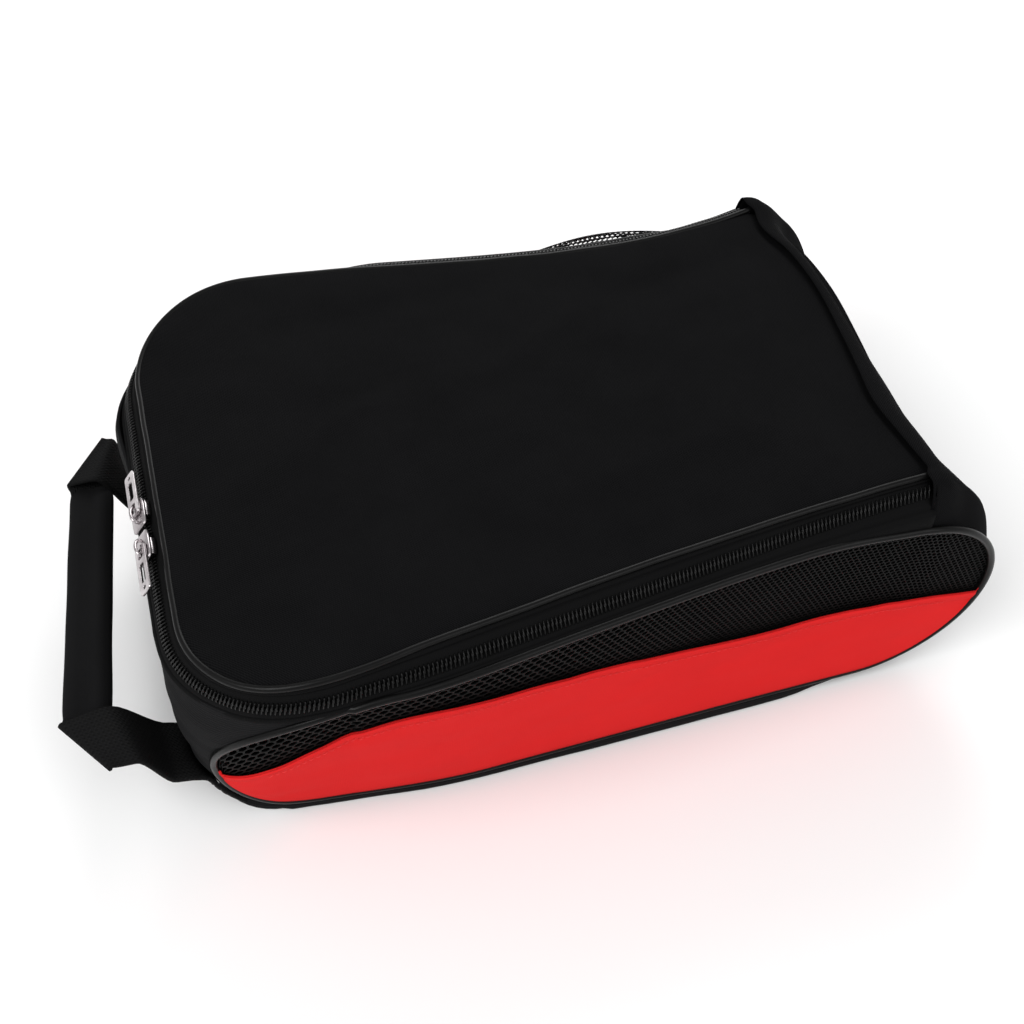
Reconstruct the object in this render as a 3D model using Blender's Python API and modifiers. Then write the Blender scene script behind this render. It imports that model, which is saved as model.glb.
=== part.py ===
"""Golf shoe bag lying on its back panel.

Metres, +Z up.  +X runs from the handle end to the toe end, -Y is the near side.  The origin is on
the flat underside of the back panel, under the middle of the lid.
The bag is a sewn shell: a back panel, an end panel at each end, two long oval side panels of mesh
and plain cloth edged with piping, and a lid that a two-way zipper frees on three sides.
"""
import math

import bmesh
import bpy
from mathutils import Matrix, Vector

# ---- Driving dimensions ------------------------------------------------------------------------
LID_HALF = 0.160            # half the lid's length, from handle-end piping to toe seam
LID_WIDTH = (0.104, -0.0229, 0.0053, 0.0085)    # half width as a cubic of x / LID_HALF
RIM_HEIGHT = (0.1356, -0.0026, 0.0021, 0.0091)  # height of the lid's edge, the same way
CORNER_X, CORNER_Y = 0.060, 0.0515              # the lid's rounded corners at the handle end
CORNER_POWER = 2.2
END_DROP = 0.006            # the lid's edge hangs this much lower along the handle end
BAND_SLOPE_SIDE = math.radians(34)              # the zipper band below horizontal, on the sides
BAND_SLOPE_CORNER = math.radians(74)            # at the handle end's corners
BAND_SLOPE_END = math.radians(52)               # and along the handle end
SEAM_O = 0.0180             # from the lid's piping to the body's seam, along the band
CHAIN_O = 0.0102            # from the lid's piping to the middle of the chain
CHAIN_GAP = 0.0011          # between the two rows of the coil
COIL_WIDTH, COIL_HEIGHT = 0.0034, 0.0022
TAPE_THICK = 0.0008
PIPING_R = 0.0018
CLOTH = 0.002               # laminated walls
EDGE_GAP = 0.0022           # a panel's edge stops this far from the middle of the piping
END_GAP = 0.0029            # and the handle end panel's curved edge this far
FIT = 0.0003                # clearance between touching pieces

BASE_HALF_WIDTH = 0.104     # at the toe end and the middle
BASE_TAPER, BASE_TAPER_X, BASE_TAPER_RUN = 0.010, -0.040, 0.120     # narrower to the handle end
BASE_THICK = 0.004
BASE_HANDLE_X, BASE_TOE_X = -0.1625, 0.1495
BASE_CORNER = 0.030
WALL_END_X = -0.1625        # the handle end panel at the floor
WALL_CORNER, WALL_CORNER_TOP = 0.032, 0.0685    # its rounded corners, at the floor and the seam
WALL_BULGE = 0.004
TOE_SEAM_X = 0.160
TOE_CENTRE_X, TOE_REACH = 0.150, 0.054          # the toe end's ellipse, at its sides
TOE_MIDDLE_REACH, TOE_HALF_HEIGHT = 0.050, 0.0722       # and across its middle
TOE_MIDDLE_POWER = 1.6      # the middle is flatter above than an ellipse
TOE_SIDE_Y, TOE_SIDE_RUN = 0.080, 0.018         # where the middle's profile turns into the sides
TOE_SHOULDER_Y, TOE_SHOULDER = 0.089, 0.018     # and where its top rounds over

OVAL_MIDDLE_Z = 0.062       # height of the side oval's handle-end tip
OVAL_LEFT_X, OVAL_LEFT_REACH = -0.078, 0.082    # its long taper on top
OVAL_LOW_X, OVAL_LOW_REACH = -0.118, 0.042      # and its short round below
OVAL_LOW_Z = 0.0075
OVAL_TOE_Z, OVAL_TOE_HALF = 0.0660, 0.0585
MESH_DEPTH, MESH_THICK = 0.0013, 0.0008         # the mesh lies inside the red cloth
RED_THICK = 0.0008
RED_EDGE = ((-0.157, 0.055), (-0.130, 0.073), (-0.100, 0.091), (-0.075, 0.097), (-0.030, 0.093),
            (0.030, 0.080), (0.090, 0.072), (0.150, 0.070), (0.204, 0.060))     # (x, z) along it

LID_CROWN = 0.003
LID_END_X = 0.1592          # the lid stops short of its hinge line
TAPE_END_X, COIL_END_X = 0.1580, 0.1575         # and so do the lid's piping and tape, and the chain
BINDING_END_X = 0.1560
BINDING_R, LID_BINDING_R = 0.0014, 0.0013       # bound seam allowances
BINDING_INSET, BINDING_DEPTH = 0.0040, 0.0042   # where they lie, inside the oval's piping
LID_BINDING_IN, LID_BINDING_DROP = 0.0030, 0.0048       # and inside and below the lid's piping

SLIDER_MIDDLE_Y, SLIDER_Y = -0.0135, 0.0095     # where the closed chain's sliders meet, and their middles
SLIDER_LENGTH, SLIDER_WIDTH = 0.016, 0.0106
PLATE = 0.0014
TOP_PLATE_Z, LOW_PLATE_Z = 0.0032, -0.0007      # inner faces of the slider's plates
NECK_WIDTH, NECK_LENGTH = 0.0005, 0.006
FLANGE = 0.0010
BAIL_R, BAIL_HALF, BAIL_TOP = 0.0007, 0.0042, 0.0075
PULL_Z, PULL_THICK = 0.0056, 0.0012             # the pull tab's pivot above the tape
PULL_LENGTH, PULL_WIDTH = 0.024, 0.0078

WEBBING_WIDTH, WEBBING_THICK = 0.030, 0.0020
HANDLE_ROOT_X, HANDLE_ROOT_Z = -0.1735, 0.042   # the line about which the handle swings
HANDLE_ROOT_Y = 0.079
GRIP_NEAR, GRIP_FAR = Vector((-0.2100, -0.0660, 0.062)), Vector((-0.1960, 0.0700, 0.062))
GRIP_WIDTH, GRIP_THICK = 0.0190, 0.0060
CORE_WIDTH, CORE_THICK = 0.0160, 0.0030
LEG_LIFT = GRIP_THICK / 2 + WEBBING_THICK / 2 + 0.0012      # the webbing lies over the sleeve's ends
LEG_RISE = 0.36             # share of the leg over which it climbs there
FOLD_RUN = 0.027            # length of the webbing's diagonal fold along the grip
LEG_TWIST = 0.10
ANCHOR_Z = 0.014            # the lower edge of the webbing's sewn end

parts = None                # the collection of parts, made below


# ---- Scene, materials and helpers ----------------------------------------------------------------
def clear_scene():
    for thing in list(bpy.data.objects):
        bpy.data.objects.remove(thing, do_unlink=True)


def make_collection(name):
    group = bpy.data.collections.new(name)
    bpy.context.scene.collection.children.link(group)
    return group


def make_material(name, colour, roughness, metallic=0.0):
    material = bpy.data.materials.new(name)
    material.use_nodes = True
    shader = material.node_tree.nodes["Principled BSDF"]
    shader.inputs["Base Color"].default_value = (*colour, 1.0)
    shader.inputs["Roughness"].default_value = roughness
    shader.inputs["Metallic"].default_value = metallic
    return material


def add_object(name, data, material):
    thing = bpy.data.objects.new(name, data)
    data.materials.append(material)
    parts.objects.link(thing)
    return thing


def sheet(name, rows, thickness, material, offset=-1.0):
    """An open surface through rows of points, made solid.  offset -1 thickens away from its front."""
    surface = bmesh.new()
    grid = [[surface.verts.new(point) for point in row] for row in rows]
    for lower, upper in zip(grid, grid[1:]):
        for a, b, c, d in zip(lower, lower[1:], upper[1:], upper):
            surface.faces.new((a, b, c, d))
    mesh = bpy.data.meshes.new(name)
    surface.to_mesh(mesh)
    surface.free()
    mesh.shade_smooth()
    thing = add_object(name, mesh, material)
    solid = thing.modifiers.new("thickness", "SOLIDIFY")
    solid.thickness, solid.offset = thickness, offset
    return thing


def tube(name, points, radius, material, closed=False, resolution=1):
    """A round cord along a list of points."""
    curve = bpy.data.curves.new(name, "CURVE")
    curve.dimensions = "3D"
    curve.bevel_depth, curve.bevel_resolution = radius, resolution
    curve.use_fill_caps = True
    spline = curve.splines.new("POLY")
    spline.points.add(len(points) - 1)
    for place, point in zip(spline.points, points):
        place.co = (*point, 1.0)
    spline.use_cyclic_u = closed
    return add_object(name, curve, material)


def box_mesh(name, size, middle):
    shape = bmesh.new()
    bmesh.ops.create_cube(shape, size=1.0)
    bmesh.ops.scale(shape, vec=size, verts=shape.verts)
    bmesh.ops.translate(shape, vec=middle, verts=shape.verts)
    mesh = bpy.data.meshes.new(name)
    shape.to_mesh(mesh)
    shape.free()
    return mesh


def curve_to_mesh(thing):
    """The same object as a welded mesh, so that it can be cut and joined."""
    graph = bpy.context.evaluated_depsgraph_get()
    mesh = bpy.data.meshes.new_from_object(thing.evaluated_get(graph))
    shape = bmesh.new()
    shape.from_mesh(mesh)
    bmesh.ops.remove_doubles(shape, verts=shape.verts, dist=0.00001)
    shape.to_mesh(mesh)
    shape.free()
    solid = bpy.data.objects.new(thing.name + "_solid", mesh)
    solid.matrix_world = thing.matrix_world
    bpy.data.objects.remove(thing, do_unlink=True)
    return solid


def join(thing, tool, operation="UNION"):
    """Joins a tool to the object, or cuts it away.  The tool goes to the cutters, hidden."""
    if tool.name in parts.objects:
        parts.objects.unlink(tool)
    cutters.objects.link(tool)
    tool.hide_render, tool.display_type = True, "WIRE"
    step = thing.modifiers.new(operation.lower(), "BOOLEAN")
    step.operation, step.object, step.solver = operation, tool, "EXACT"


def smooth_step(value):
    value = min(max(value, 0.0), 1.0)
    return value * value * (3.0 - 2.0 * value)


def blend(a, b, share):
    return a + (b - a) * share


def cubic(terms, x):
    u = x / LID_HALF
    return sum(term * u ** power for power, term in enumerate(terms))


def through(points, x):
    """Height at x on a smooth line through a few (x, z) points."""
    xs = [p[0] for p in points]
    if x <= xs[0]:
        return points[0][1]
    if x >= xs[-1]:
        return points[-1][1]
    i = max(k for k in range(len(xs) - 1) if xs[k] <= x)
    slopes = []
    for k in (i, i + 1):
        low, high = max(k - 1, 0), min(k + 1, len(points) - 1)
        slopes.append((points[high][1] - points[low][1]) / (points[high][0] - points[low][0]))
    width = xs[i + 1] - xs[i]
    t = (x - xs[i]) / width
    return ((2 * t ** 3 - 3 * t ** 2 + 1) * points[i][1] + (t ** 3 - 2 * t ** 2 + t) * width * slopes[0]
            + (3 * t ** 2 - 2 * t ** 3) * points[i + 1][1] + (t ** 3 - t ** 2) * width * slopes[1])


# ---- The lid's edge and the zipper band that follows it -------------------------------------------
SIDE_SHARE, CORNER_SHARE = 0.60, 0.22           # of the way from the toe to the handle end's middle
CORNER_START_X = -LID_HALF + CORNER_X


def rim_near(q):
    """The lid's edge on the near side: q runs from 0 at the toe to 1 at the handle end's middle."""
    if q < SIDE_SHARE:
        x = blend(LID_HALF, CORNER_START_X, q / SIDE_SHARE)
        y, drop = cubic(LID_WIDTH, x), 0.0
    else:
        corner_width = cubic(LID_WIDTH, CORNER_START_X)
        turn = min((q - SIDE_SHARE) / CORNER_SHARE, 1.0) * math.pi / 2
        along = CORNER_X * math.sin(turn) ** (2 / CORNER_POWER)
        x = CORNER_START_X - along
        spread = 0.12 * along * (1 - along / CORNER_X)
        y = corner_width - CORNER_Y + spread + CORNER_Y * abs(math.cos(turn)) ** (2 / CORNER_POWER)
        drop = END_DROP * (along / CORNER_X) ** 2
    if q > SIDE_SHARE + CORNER_SHARE:
        y = (cubic(LID_WIDTH, CORNER_START_X) - CORNER_Y) * (1 - q) / (1 - SIDE_SHARE - CORNER_SHARE)
    return Vector((x, -y, cubic(RIM_HEIGHT, x) - drop))


def band_slope(q):
    """How steeply the band hangs."""
    if q < SIDE_SHARE + CORNER_SHARE / 2:
        return blend(BAND_SLOPE_SIDE, BAND_SLOPE_CORNER, smooth_step((q - 0.44) / 0.2))
    return blend(BAND_SLOPE_CORNER, BAND_SLOPE_END, smooth_step((q - 0.71) / 0.13))


def band_frame(q):
    """A point of the lid's edge, with the band's outward and surface directions there."""
    here = rim_near(q)
    along = rim_near(min(q + 0.002, 1.0)) - rim_near(max(q - 0.002, 0.0))
    out = Vector((-along.y, along.x, 0)).normalized()
    slope = band_slope(q)
    down_band = math.cos(slope) * out - Vector((0, 0, math.sin(slope)))
    up = math.sin(slope) * out + Vector((0, 0, math.cos(slope)))
    return here, down_band, up


def band_point(q, distance, lift=0.0):
    """A point on the zipper band, on the near half for q in 0..1 and mirrored for q in 1..2."""
    mirrored = q > 1.0
    here, down_band, up = band_frame(2.0 - q if mirrored else q)
    place = here + down_band * distance + up * lift
    return Vector((place.x, -place.y, place.z)) if mirrored else place


def band_stations(count_side, count_corner, start):
    """Places along the near side, corner and end, then mirrored back along the far side."""
    side = [start + (SIDE_SHARE - start) * i / count_side for i in range(count_side)]
    corner = [SIDE_SHARE + CORNER_SHARE * i / count_corner for i in range(count_corner)]
    near = side + corner + [SIDE_SHARE + CORNER_SHARE, 0.88, 0.94]
    return near + [1.0] + [2.0 - q for q in reversed(near)]


def q_at_x(x):
    return SIDE_SHARE * (LID_HALF - x) / (LID_HALF - CORNER_START_X)


def slope_at_x(x):
    """The band's slope above the side wall at x."""
    if x > CORNER_START_X:
        return band_slope(q_at_x(x))
    past = (CORNER_START_X - x) / CORNER_X
    return blend(BAND_SLOPE_CORNER, BAND_SLOPE_END, smooth_step(past * 1.5 - 0.5))


# ---- The bag's walls --------------------------------------------------------------------------------
def seam_height(x):
    """Height of the seam under the zipper band, on the sides."""
    inside = min(max(x, -LID_HALF), LID_HALF)
    drop = END_DROP * max((CORNER_START_X - inside) / CORNER_X, 0.0) ** 2
    return cubic(RIM_HEIGHT, inside) - drop - SEAM_O * math.sin(slope_at_x(inside))


def base_half(x):
    """Half the width of the back panel at x."""
    return BASE_HALF_WIDTH - BASE_TAPER * smooth_step((BASE_TAPER_X - x) / BASE_TAPER_RUN)


def wall_outline(x, share):
    """Half width of the wall at x, where share is the height from the floor to the seam."""
    inside = min(max(x, CORNER_START_X), LID_HALF)
    top = cubic(LID_WIDTH, inside) + SEAM_O * math.cos(slope_at_x(inside))
    half = blend(base_half(x), top, share)
    end, corner = wall_end(share)
    past = end + corner - x
    if past <= 0:
        return half
    past = min(past / corner, 1.0)
    return half - corner + corner * (1 - past ** CORNER_POWER) ** (1 / CORNER_POWER)


def wall_end(share):
    """Where the handle end wall stands at a height, and the radius of its corners there."""
    top_x = -LID_HALF - SEAM_O * math.cos(BAND_SLOPE_END)
    end = blend(WALL_END_X, top_x, share) - WALL_BULGE * 4 * share * (1 - share)
    return end, blend(WALL_CORNER, WALL_CORNER_TOP, share ** 3)


def wall_x(y, share):
    """Where the handle end wall stands at a half width of y."""
    end, corner = wall_end(share)
    outside, inside = end, end + corner
    for _ in range(30):
        middle = (outside + inside) / 2
        if wall_outline(middle, share) < y:
            outside = middle
        else:
            inside = middle
    return outside


def side_point(x, z, depth=0.0):
    """A point on the near side wall, depth metres inside it."""
    share = min(max(z / seam_height(x), 0.0), 1.0)
    return Vector((x, -(wall_outline(x, share) - depth), z))


def oval_top(x):
    """The side oval's upper line."""
    if x < OVAL_LEFT_X:
        rise = seam_height(OVAL_LEFT_X) - OVAL_MIDDLE_Z
        reach = min((OVAL_LEFT_X - x) / OVAL_LEFT_REACH, 1.0)
        return OVAL_MIDDLE_Z + rise * math.sqrt(1 - reach * reach)
    if x > TOE_CENTRE_X:
        reach = min((x - TOE_CENTRE_X) / TOE_REACH, 1.0)
        return OVAL_TOE_Z + OVAL_TOE_HALF * math.sqrt(1 - reach * reach)
    return blend(seam_height(x), OVAL_TOE_Z + OVAL_TOE_HALF, smooth_step((x - 0.09) / 0.06))


def oval_low(x):
    """The side oval's lower line."""
    if x < OVAL_LOW_X:
        reach = min((OVAL_LOW_X - x) / OVAL_LOW_REACH, 1.0)
        return OVAL_MIDDLE_Z - (OVAL_MIDDLE_Z - OVAL_LOW_Z) * math.sqrt(1 - reach * reach)
    if x > TOE_CENTRE_X:
        reach = min((x - TOE_CENTRE_X) / TOE_REACH, 1.0)
        return OVAL_TOE_Z - OVAL_TOE_HALF * math.sqrt(1 - reach * reach)
    return OVAL_LOW_Z


def oval_stations(count):
    """x of matching points on the oval's two lines, close together at its round ends."""
    low, high = OVAL_LEFT_X - OVAL_LEFT_REACH, TOE_CENTRE_X + TOE_REACH
    middle, half = (low + high) / 2, (high - low) / 2
    return [middle - half * math.cos(math.pi * i / count) for i in range(count + 1)]


def shrunk(points, margin):
    """A closed outline of (x, z) points moved inwards by a margin."""
    result = []
    for i, (x, z) in enumerate(points):
        before, after = points[i - 1], points[(i + 1) % len(points)]
        dx, dz = after[0] - before[0], after[1] - before[1]
        length = math.hypot(dx, dz)
        result.append((x - dz / length * margin, z + dx / length * margin))
    return result


def oval_outline(count, margin=0.0):
    """The oval, going anticlockwise seen from the near side: along the bottom, then back on top."""
    xs = oval_stations(count)
    points = [(x, oval_low(x)) for x in xs] + [(x, oval_top(x)) for x in reversed(xs[1:-1])]
    return shrunk(points, margin) if margin else points


def mirrored(points, side):
    """side 1 keeps the near side's points, -1 gives the far side's."""
    return [Vector((p.x, p.y * side, p.z)) for p in points]


# ---- Body panels ---------------------------------------------------------------------------------------
def make_back_panel(material):
    """A stiffened flat panel with rounded corners at the handle end."""
    outline = []
    for side in (-1, 1):
        xs = [BASE_TOE_X] + [blend(BASE_TAPER_X, BASE_HANDLE_X + BASE_CORNER, i / 5) for i in range(5)]
        xs += [BASE_HANDLE_X + BASE_CORNER * (1 - math.sin(math.pi / 2 * i / 6)) for i in range(7)]
        run = []
        for x in xs:
            past = max(BASE_HANDLE_X + BASE_CORNER - x, 0.0) / BASE_CORNER
            rounding = BASE_CORNER * (1 - math.sqrt(1 - past * past))
            run.append((x, side * (base_half(x) - rounding)))
        outline += run if side < 0 else run[::-1]
    shape = bmesh.new()
    shape.faces.new([shape.verts.new((x, y, 0.0)) for x, y in outline])
    mesh = bpy.data.meshes.new("back_panel")
    shape.to_mesh(mesh)
    shape.free()
    thing = add_object("back_panel", mesh, material)
    solid = thing.modifiers.new("thickness", "SOLIDIFY")
    solid.thickness, solid.offset = BASE_THICK, -1.0 if mesh.polygons[0].normal.z < 0 else 1.0
    edge = thing.modifiers.new("edge", "BEVEL")
    edge.width, edge.segments = 0.0012, 2
    return thing


def oval_margin(x, z):
    """Over 1 where (x, z) lies outside the handle end of the oval and its piping."""
    if z > OVAL_MIDDLE_Z:
        reach, rise = OVAL_LEFT_REACH, seam_height(OVAL_LEFT_X) - OVAL_MIDDLE_Z
        middle = OVAL_LEFT_X
    else:
        reach, rise = OVAL_LOW_REACH, OVAL_MIDDLE_Z - OVAL_LOW_Z
        middle = OVAL_LOW_X
    return math.hypot((middle - x) / (reach + END_GAP), (z - OVAL_MIDDLE_Z) / (rise + END_GAP))


def end_panel_start(share):
    """Where the end panel meets the side oval's piping, at a height."""
    outside, inside = OVAL_LEFT_X - OVAL_LEFT_REACH - END_GAP, OVAL_LEFT_X
    if share * seam_height(OVAL_LOW_X) < OVAL_MIDDLE_Z:
        inside = OVAL_LOW_X
    for _ in range(30):
        middle = (outside + inside) / 2
        if oval_margin(middle, share * seam_height(middle)) > 1:
            outside = middle
        else:
            inside = middle
    return outside


def end_panel_row(share, count):
    """A line round the handle end at one height, from the near oval to the far one."""
    end, corner = wall_end(share)
    start = end_panel_start(share)
    half_run = wall_outline(end, share)
    turn_x = end + corner
    near = [Vector((end, -half_run * i / 4, 0)) for i in range(4)]
    last = math.asin(1.0) if start > turn_x else math.acos(min((turn_x - start) / corner, 1.0))
    for i in range(count + 1):
        x = turn_x - corner * math.cos(last * i / count)
        near.append(Vector((x, -wall_outline(x, share), 0)))
    if start > turn_x + 0.001:
        near += [Vector((x, -wall_outline(x, share), 0))
                 for x in (blend(turn_x, start, i / 4) for i in range(1, 5))]
    else:
        near += [near[-1] + (near[-1] - near[-2]) * 0.02 * i for i in range(1, 5)]
    for point in near:
        point.z = share * seam_height(point.x)
    return [Vector((p.x, -p.y, p.z)) for p in reversed(near[1:])] + near


def make_handle_end_panel(material):
    first, last = 0.045, 0.985
    rows = [end_panel_row(blend(first, last, i / 13), 8) for i in range(14)]
    return sheet("handle_end_panel", rows, CLOTH, material)


def toe_point(share, across):
    """The toe end: share runs from the floor round to the seam, across from -1 near to 1 far."""
    half = -side_point(TOE_CENTRE_X, OVAL_TOE_Z).y
    side = smooth_step((abs(across) * half - TOE_SIDE_Y) / TOE_SIDE_RUN)
    shoulder = smooth_step((abs(across) * half - TOE_SHOULDER_Y) / TOE_SHOULDER)
    power = blend(TOE_MIDDLE_POWER, 2.0, side)
    reach = blend(TOE_MIDDLE_REACH, TOE_REACH, side)
    last = math.acos(((TOE_SEAM_X + 3 * FIT - TOE_CENTRE_X) / reach) ** (power / 2))
    turn = blend(-math.pi / 2, last, share)
    if turn < 0:
        power = 2.0
    middle = blend(TOE_HALF_HEIGHT, OVAL_TOE_Z, shoulder)
    rise = blend(TOE_HALF_HEIGHT, OVAL_TOE_HALF, shoulder)
    x = TOE_CENTRE_X + reach * math.cos(turn) ** (2 / power)
    z = middle + rise * math.copysign(abs(math.sin(turn)) ** (2 / power), turn)
    y = across * (-side_point(x, min(z, OVAL_TOE_Z + OVAL_TOE_HALF)).y - EDGE_GAP)
    return Vector((x, y, z))


def make_toe_end_panel(material):
    acrosses = [-1, -0.97, -0.93, -0.88, -0.82, -0.5, 0, 0.5, 0.82, 0.88, 0.93, 0.97, 1]
    rows = [[toe_point(i / 18, across) for across in acrosses] for i in range(19)]
    return sheet("toe_end_panel", rows, CLOTH, material)


def side_panel_rows(side, depth, upper, count=24, steps=5):
    """Columns across the oval from its lower line to an upper limit, inside the piping."""
    outline = oval_outline(count, EDGE_GAP)
    columns = []
    for i in range(1, count):
        low_x, low_z = outline[i]
        top_x, top_z = outline[2 * count - i]
        if upper:
            top_z = min(top_z, max(through(RED_EDGE, top_x), low_z + 0.003))
        points = [side_point(blend(low_x, top_x, k / steps), blend(low_z, top_z, k / steps), depth)
                  for k in range(steps + 1)]
        columns.append(mirrored(points, side))
    return columns if side > 0 else columns[::-1]


def make_side_panels(side, word, mesh_material, red_material):
    """The mesh fills the oval; the red cloth lies outside its lower part."""
    sheet("side_mesh_" + word, side_panel_rows(side, MESH_DEPTH, False), MESH_THICK, mesh_material, 0.0)
    sheet("side_red_panel_" + word, side_panel_rows(side, 0.0, True), RED_THICK, red_material, 0.0)


def make_side_piping(side, word, material):
    points = [side_point(x, z) for x, z in oval_outline(32)]
    return tube("side_piping_" + word, mirrored(points, side), PIPING_R, material, closed=True,
                resolution=2)


def make_seam_binding(side, word, material):
    """The bound seam allowance behind the piping, inside the bag."""
    points = [side_point(x, z, BINDING_DEPTH) for x, z in oval_outline(28, BINDING_INSET)]
    return tube("seam_binding_" + word, mirrored(points, side), BINDING_R, material, closed=True)


# ---- Zipper ----------------------------------------------------------------------------------------------
def band_strip(name, start_o, end_o, lift, thickness, start_x, material):
    """A strip of the zipper band; end_o may be a function of q."""
    rows = []
    for q in band_stations(18, 9, q_at_x(start_x)):
        outer = end_o(min(q, 2.0 - q)) if callable(end_o) else end_o
        rows.append([band_point(q, start_o, lift), band_point(q, outer, lift)])
    return sheet(name, rows, thickness, material, 0.0)


def body_tape_edge(q):
    """The body's tape is wider round the handle end, where no piping edges it."""
    return blend(SEAM_O - EDGE_GAP - 2 * FIT, SEAM_O - 2 * FIT, smooth_step((q - SIDE_SHARE - 0.02) / 0.1))


def make_zipper(tape_material, coil_material):
    lid_inner, lid_outer = PIPING_R + FIT + 0.0001, CHAIN_O - CHAIN_GAP / 2
    body_inner = CHAIN_O + CHAIN_GAP / 2
    coil_lift = TAPE_THICK / 2 + FIT + COIL_HEIGHT / 2
    band_strip("zipper_tape_lid", lid_inner, lid_outer, 0.0, TAPE_THICK, TAPE_END_X, tape_material)
    band_strip("zipper_tape_body", body_inner, body_tape_edge, 0.0, TAPE_THICK, TAPE_END_X, tape_material)
    band_strip("zipper_coil_lid", lid_outer - COIL_WIDTH, lid_outer, coil_lift, COIL_HEIGHT, COIL_END_X,
               coil_material)
    band_strip("zipper_coil_body", body_inner, body_inner + COIL_WIDTH, coil_lift, COIL_HEIGHT, COIL_END_X,
               coil_material)


def chain_frame(y):
    """Where a slider sits on the handle end's straight run: along +Y, across the chain, and up."""
    here, down_band, up = band_frame(1.0)
    middle = here + down_band * CHAIN_O
    rotation = Matrix((Vector((0, 1, 0)), down_band, up)).transposed()
    place = rotation.to_4x4()
    place.translation = Vector((middle.x, y, middle.z))
    return place


def make_slider(side, word, material):
    """A two-plate slider with a bail.  side -1 is the near one.  Local X runs along the chain."""
    name = "slider_" + word
    place = chain_frame(SLIDER_MIDDLE_Y + side * SLIDER_Y)
    top_middle = TOP_PLATE_Z + PLATE / 2
    body = add_object(name, box_mesh(name, (SLIDER_LENGTH, SLIDER_WIDTH, PLATE), (0, 0, top_middle)),
                      material)
    tools = [((SLIDER_LENGTH, SLIDER_WIDTH, PLATE), (0, 0, LOW_PLATE_Z - PLATE / 2)),
             ((NECK_LENGTH, NECK_WIDTH, TOP_PLATE_Z - LOW_PLATE_Z + PLATE),
              (0, 0, (TOP_PLATE_Z + LOW_PLATE_Z) / 2))]
    flange_low, flange_high = TAPE_THICK / 2 + FIT + 0.0001, top_middle
    for edge in (-1, 1):
        tools.append(((SLIDER_LENGTH, FLANGE, flange_high - flange_low),
                      (0, edge * (SLIDER_WIDTH - FLANGE) / 2, (flange_high + flange_low) / 2)))
    for number, (size, middle) in enumerate(tools):
        tool = bpy.data.objects.new("%s_tool_%d" % (name, number), box_mesh(name, size, middle))
        tool.matrix_world = place
        join(body, tool)
    rise = BAIL_TOP - TOP_PLATE_Z - PLATE / 2
    arch = [(-BAIL_HALF * math.cos(a), 0, TOP_PLATE_Z + PLATE / 2 + rise * math.sin(a) ** 0.6)
            for a in (math.pi * i / 10 for i in range(11))]
    bail = curve_to_mesh(tube(name + "_bail", arch, BAIL_R, material))
    bail.matrix_world = place
    join(body, bail)
    body.matrix_world = place
    return body


def make_puller(side, word, material):
    """A flat tab with a hole for the bail and a long slot.  Its origin is on its pivot."""
    name = "puller_" + word
    curve = bpy.data.curves.new(name, "CURVE")
    curve.dimensions, curve.fill_mode, curve.extrude = "2D", "BOTH", PULL_THICK / 2
    half = PULL_WIDTH / 2

    def loop(low, high, half_width, rounding):
        spline = curve.splines.new("POLY")
        corners = [(high - rounding, half_width - rounding, 0), (low + rounding, half_width - rounding, 1),
                   (low + rounding, rounding - half_width, 2), (high - rounding, rounding - half_width, 3)]
        points = [(x + rounding * math.cos((k + s / 3) * math.pi / 2),
                   y + rounding * math.sin((k + s / 3) * math.pi / 2))
                  for x, y, k in corners for s in range(4)]
        spline.points.add(len(points) - 1)
        for spot, (x, y) in zip(spline.points, points):
            spot.co = (x, y, 0, 1)
        spline.use_cyclic_u = True

    loop(-0.0006, PULL_LENGTH, half, 0.0005)
    loop(0.0006, 0.0062, 0.0017, 0.0004)
    loop(0.0085, PULL_LENGTH - 0.0035, half - 0.0019, 0.0012)
    flat = add_object(name, curve, material)
    solid = curve_to_mesh(flat)
    solid.name = name
    parts.objects.link(solid)
    place = chain_frame(SLIDER_MIDDLE_Y + side * SLIDER_Y)
    lift = Matrix.Translation((0, 0, PULL_Z))
    turn = Matrix.Rotation(math.pi if side < 0 else 0.0, 4, "Z")
    solid.matrix_world = place @ lift @ turn
    return solid


# ---- Lid ---------------------------------------------------------------------------------------------------
def make_lid_panel(material):
    rows = []
    for q in band_stations(18, 9, q_at_x(LID_END_X)):
        if q > SIDE_SHARE + CORNER_SHARE + 0.001:
            break
        here, down_band, up = band_frame(q)
        edge = here - Vector((down_band.x, down_band.y, 0)).normalized() * EDGE_GAP
        crown = LID_CROWN * smooth_step((LID_END_X - edge.x) / 0.06)
        rows.append([Vector((edge.x, edge.y * k, edge.z + 0.0005 + crown * (1 - k * k)))
                     for k in (1, 0.85, 0.6, 0.3, 0, -0.3, -0.6, -0.85, -1)])
    return sheet("lid_panel", rows, CLOTH, material)


def make_lid_piping(material):
    stations = band_stations(20, 10, q_at_x(TAPE_END_X))
    return tube("lid_piping", [band_point(q, 0.0) for q in stations], PIPING_R, material, resolution=2)


def make_lid_binding(material):
    """The bound seam allowance under the lid's edge."""
    stations = band_stations(16, 8, q_at_x(BINDING_END_X))
    points = []
    for q in stations:
        edge, inward = band_point(q, 0.0), band_point(q, 0.0) - band_point(q, 0.001)
        inward.z = 0.0
        points.append(edge + inward.normalized() * LID_BINDING_IN - Vector((0, 0, LID_BINDING_DROP)))
    return tube("lid_binding", points, LID_BINDING_R, material)


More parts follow.
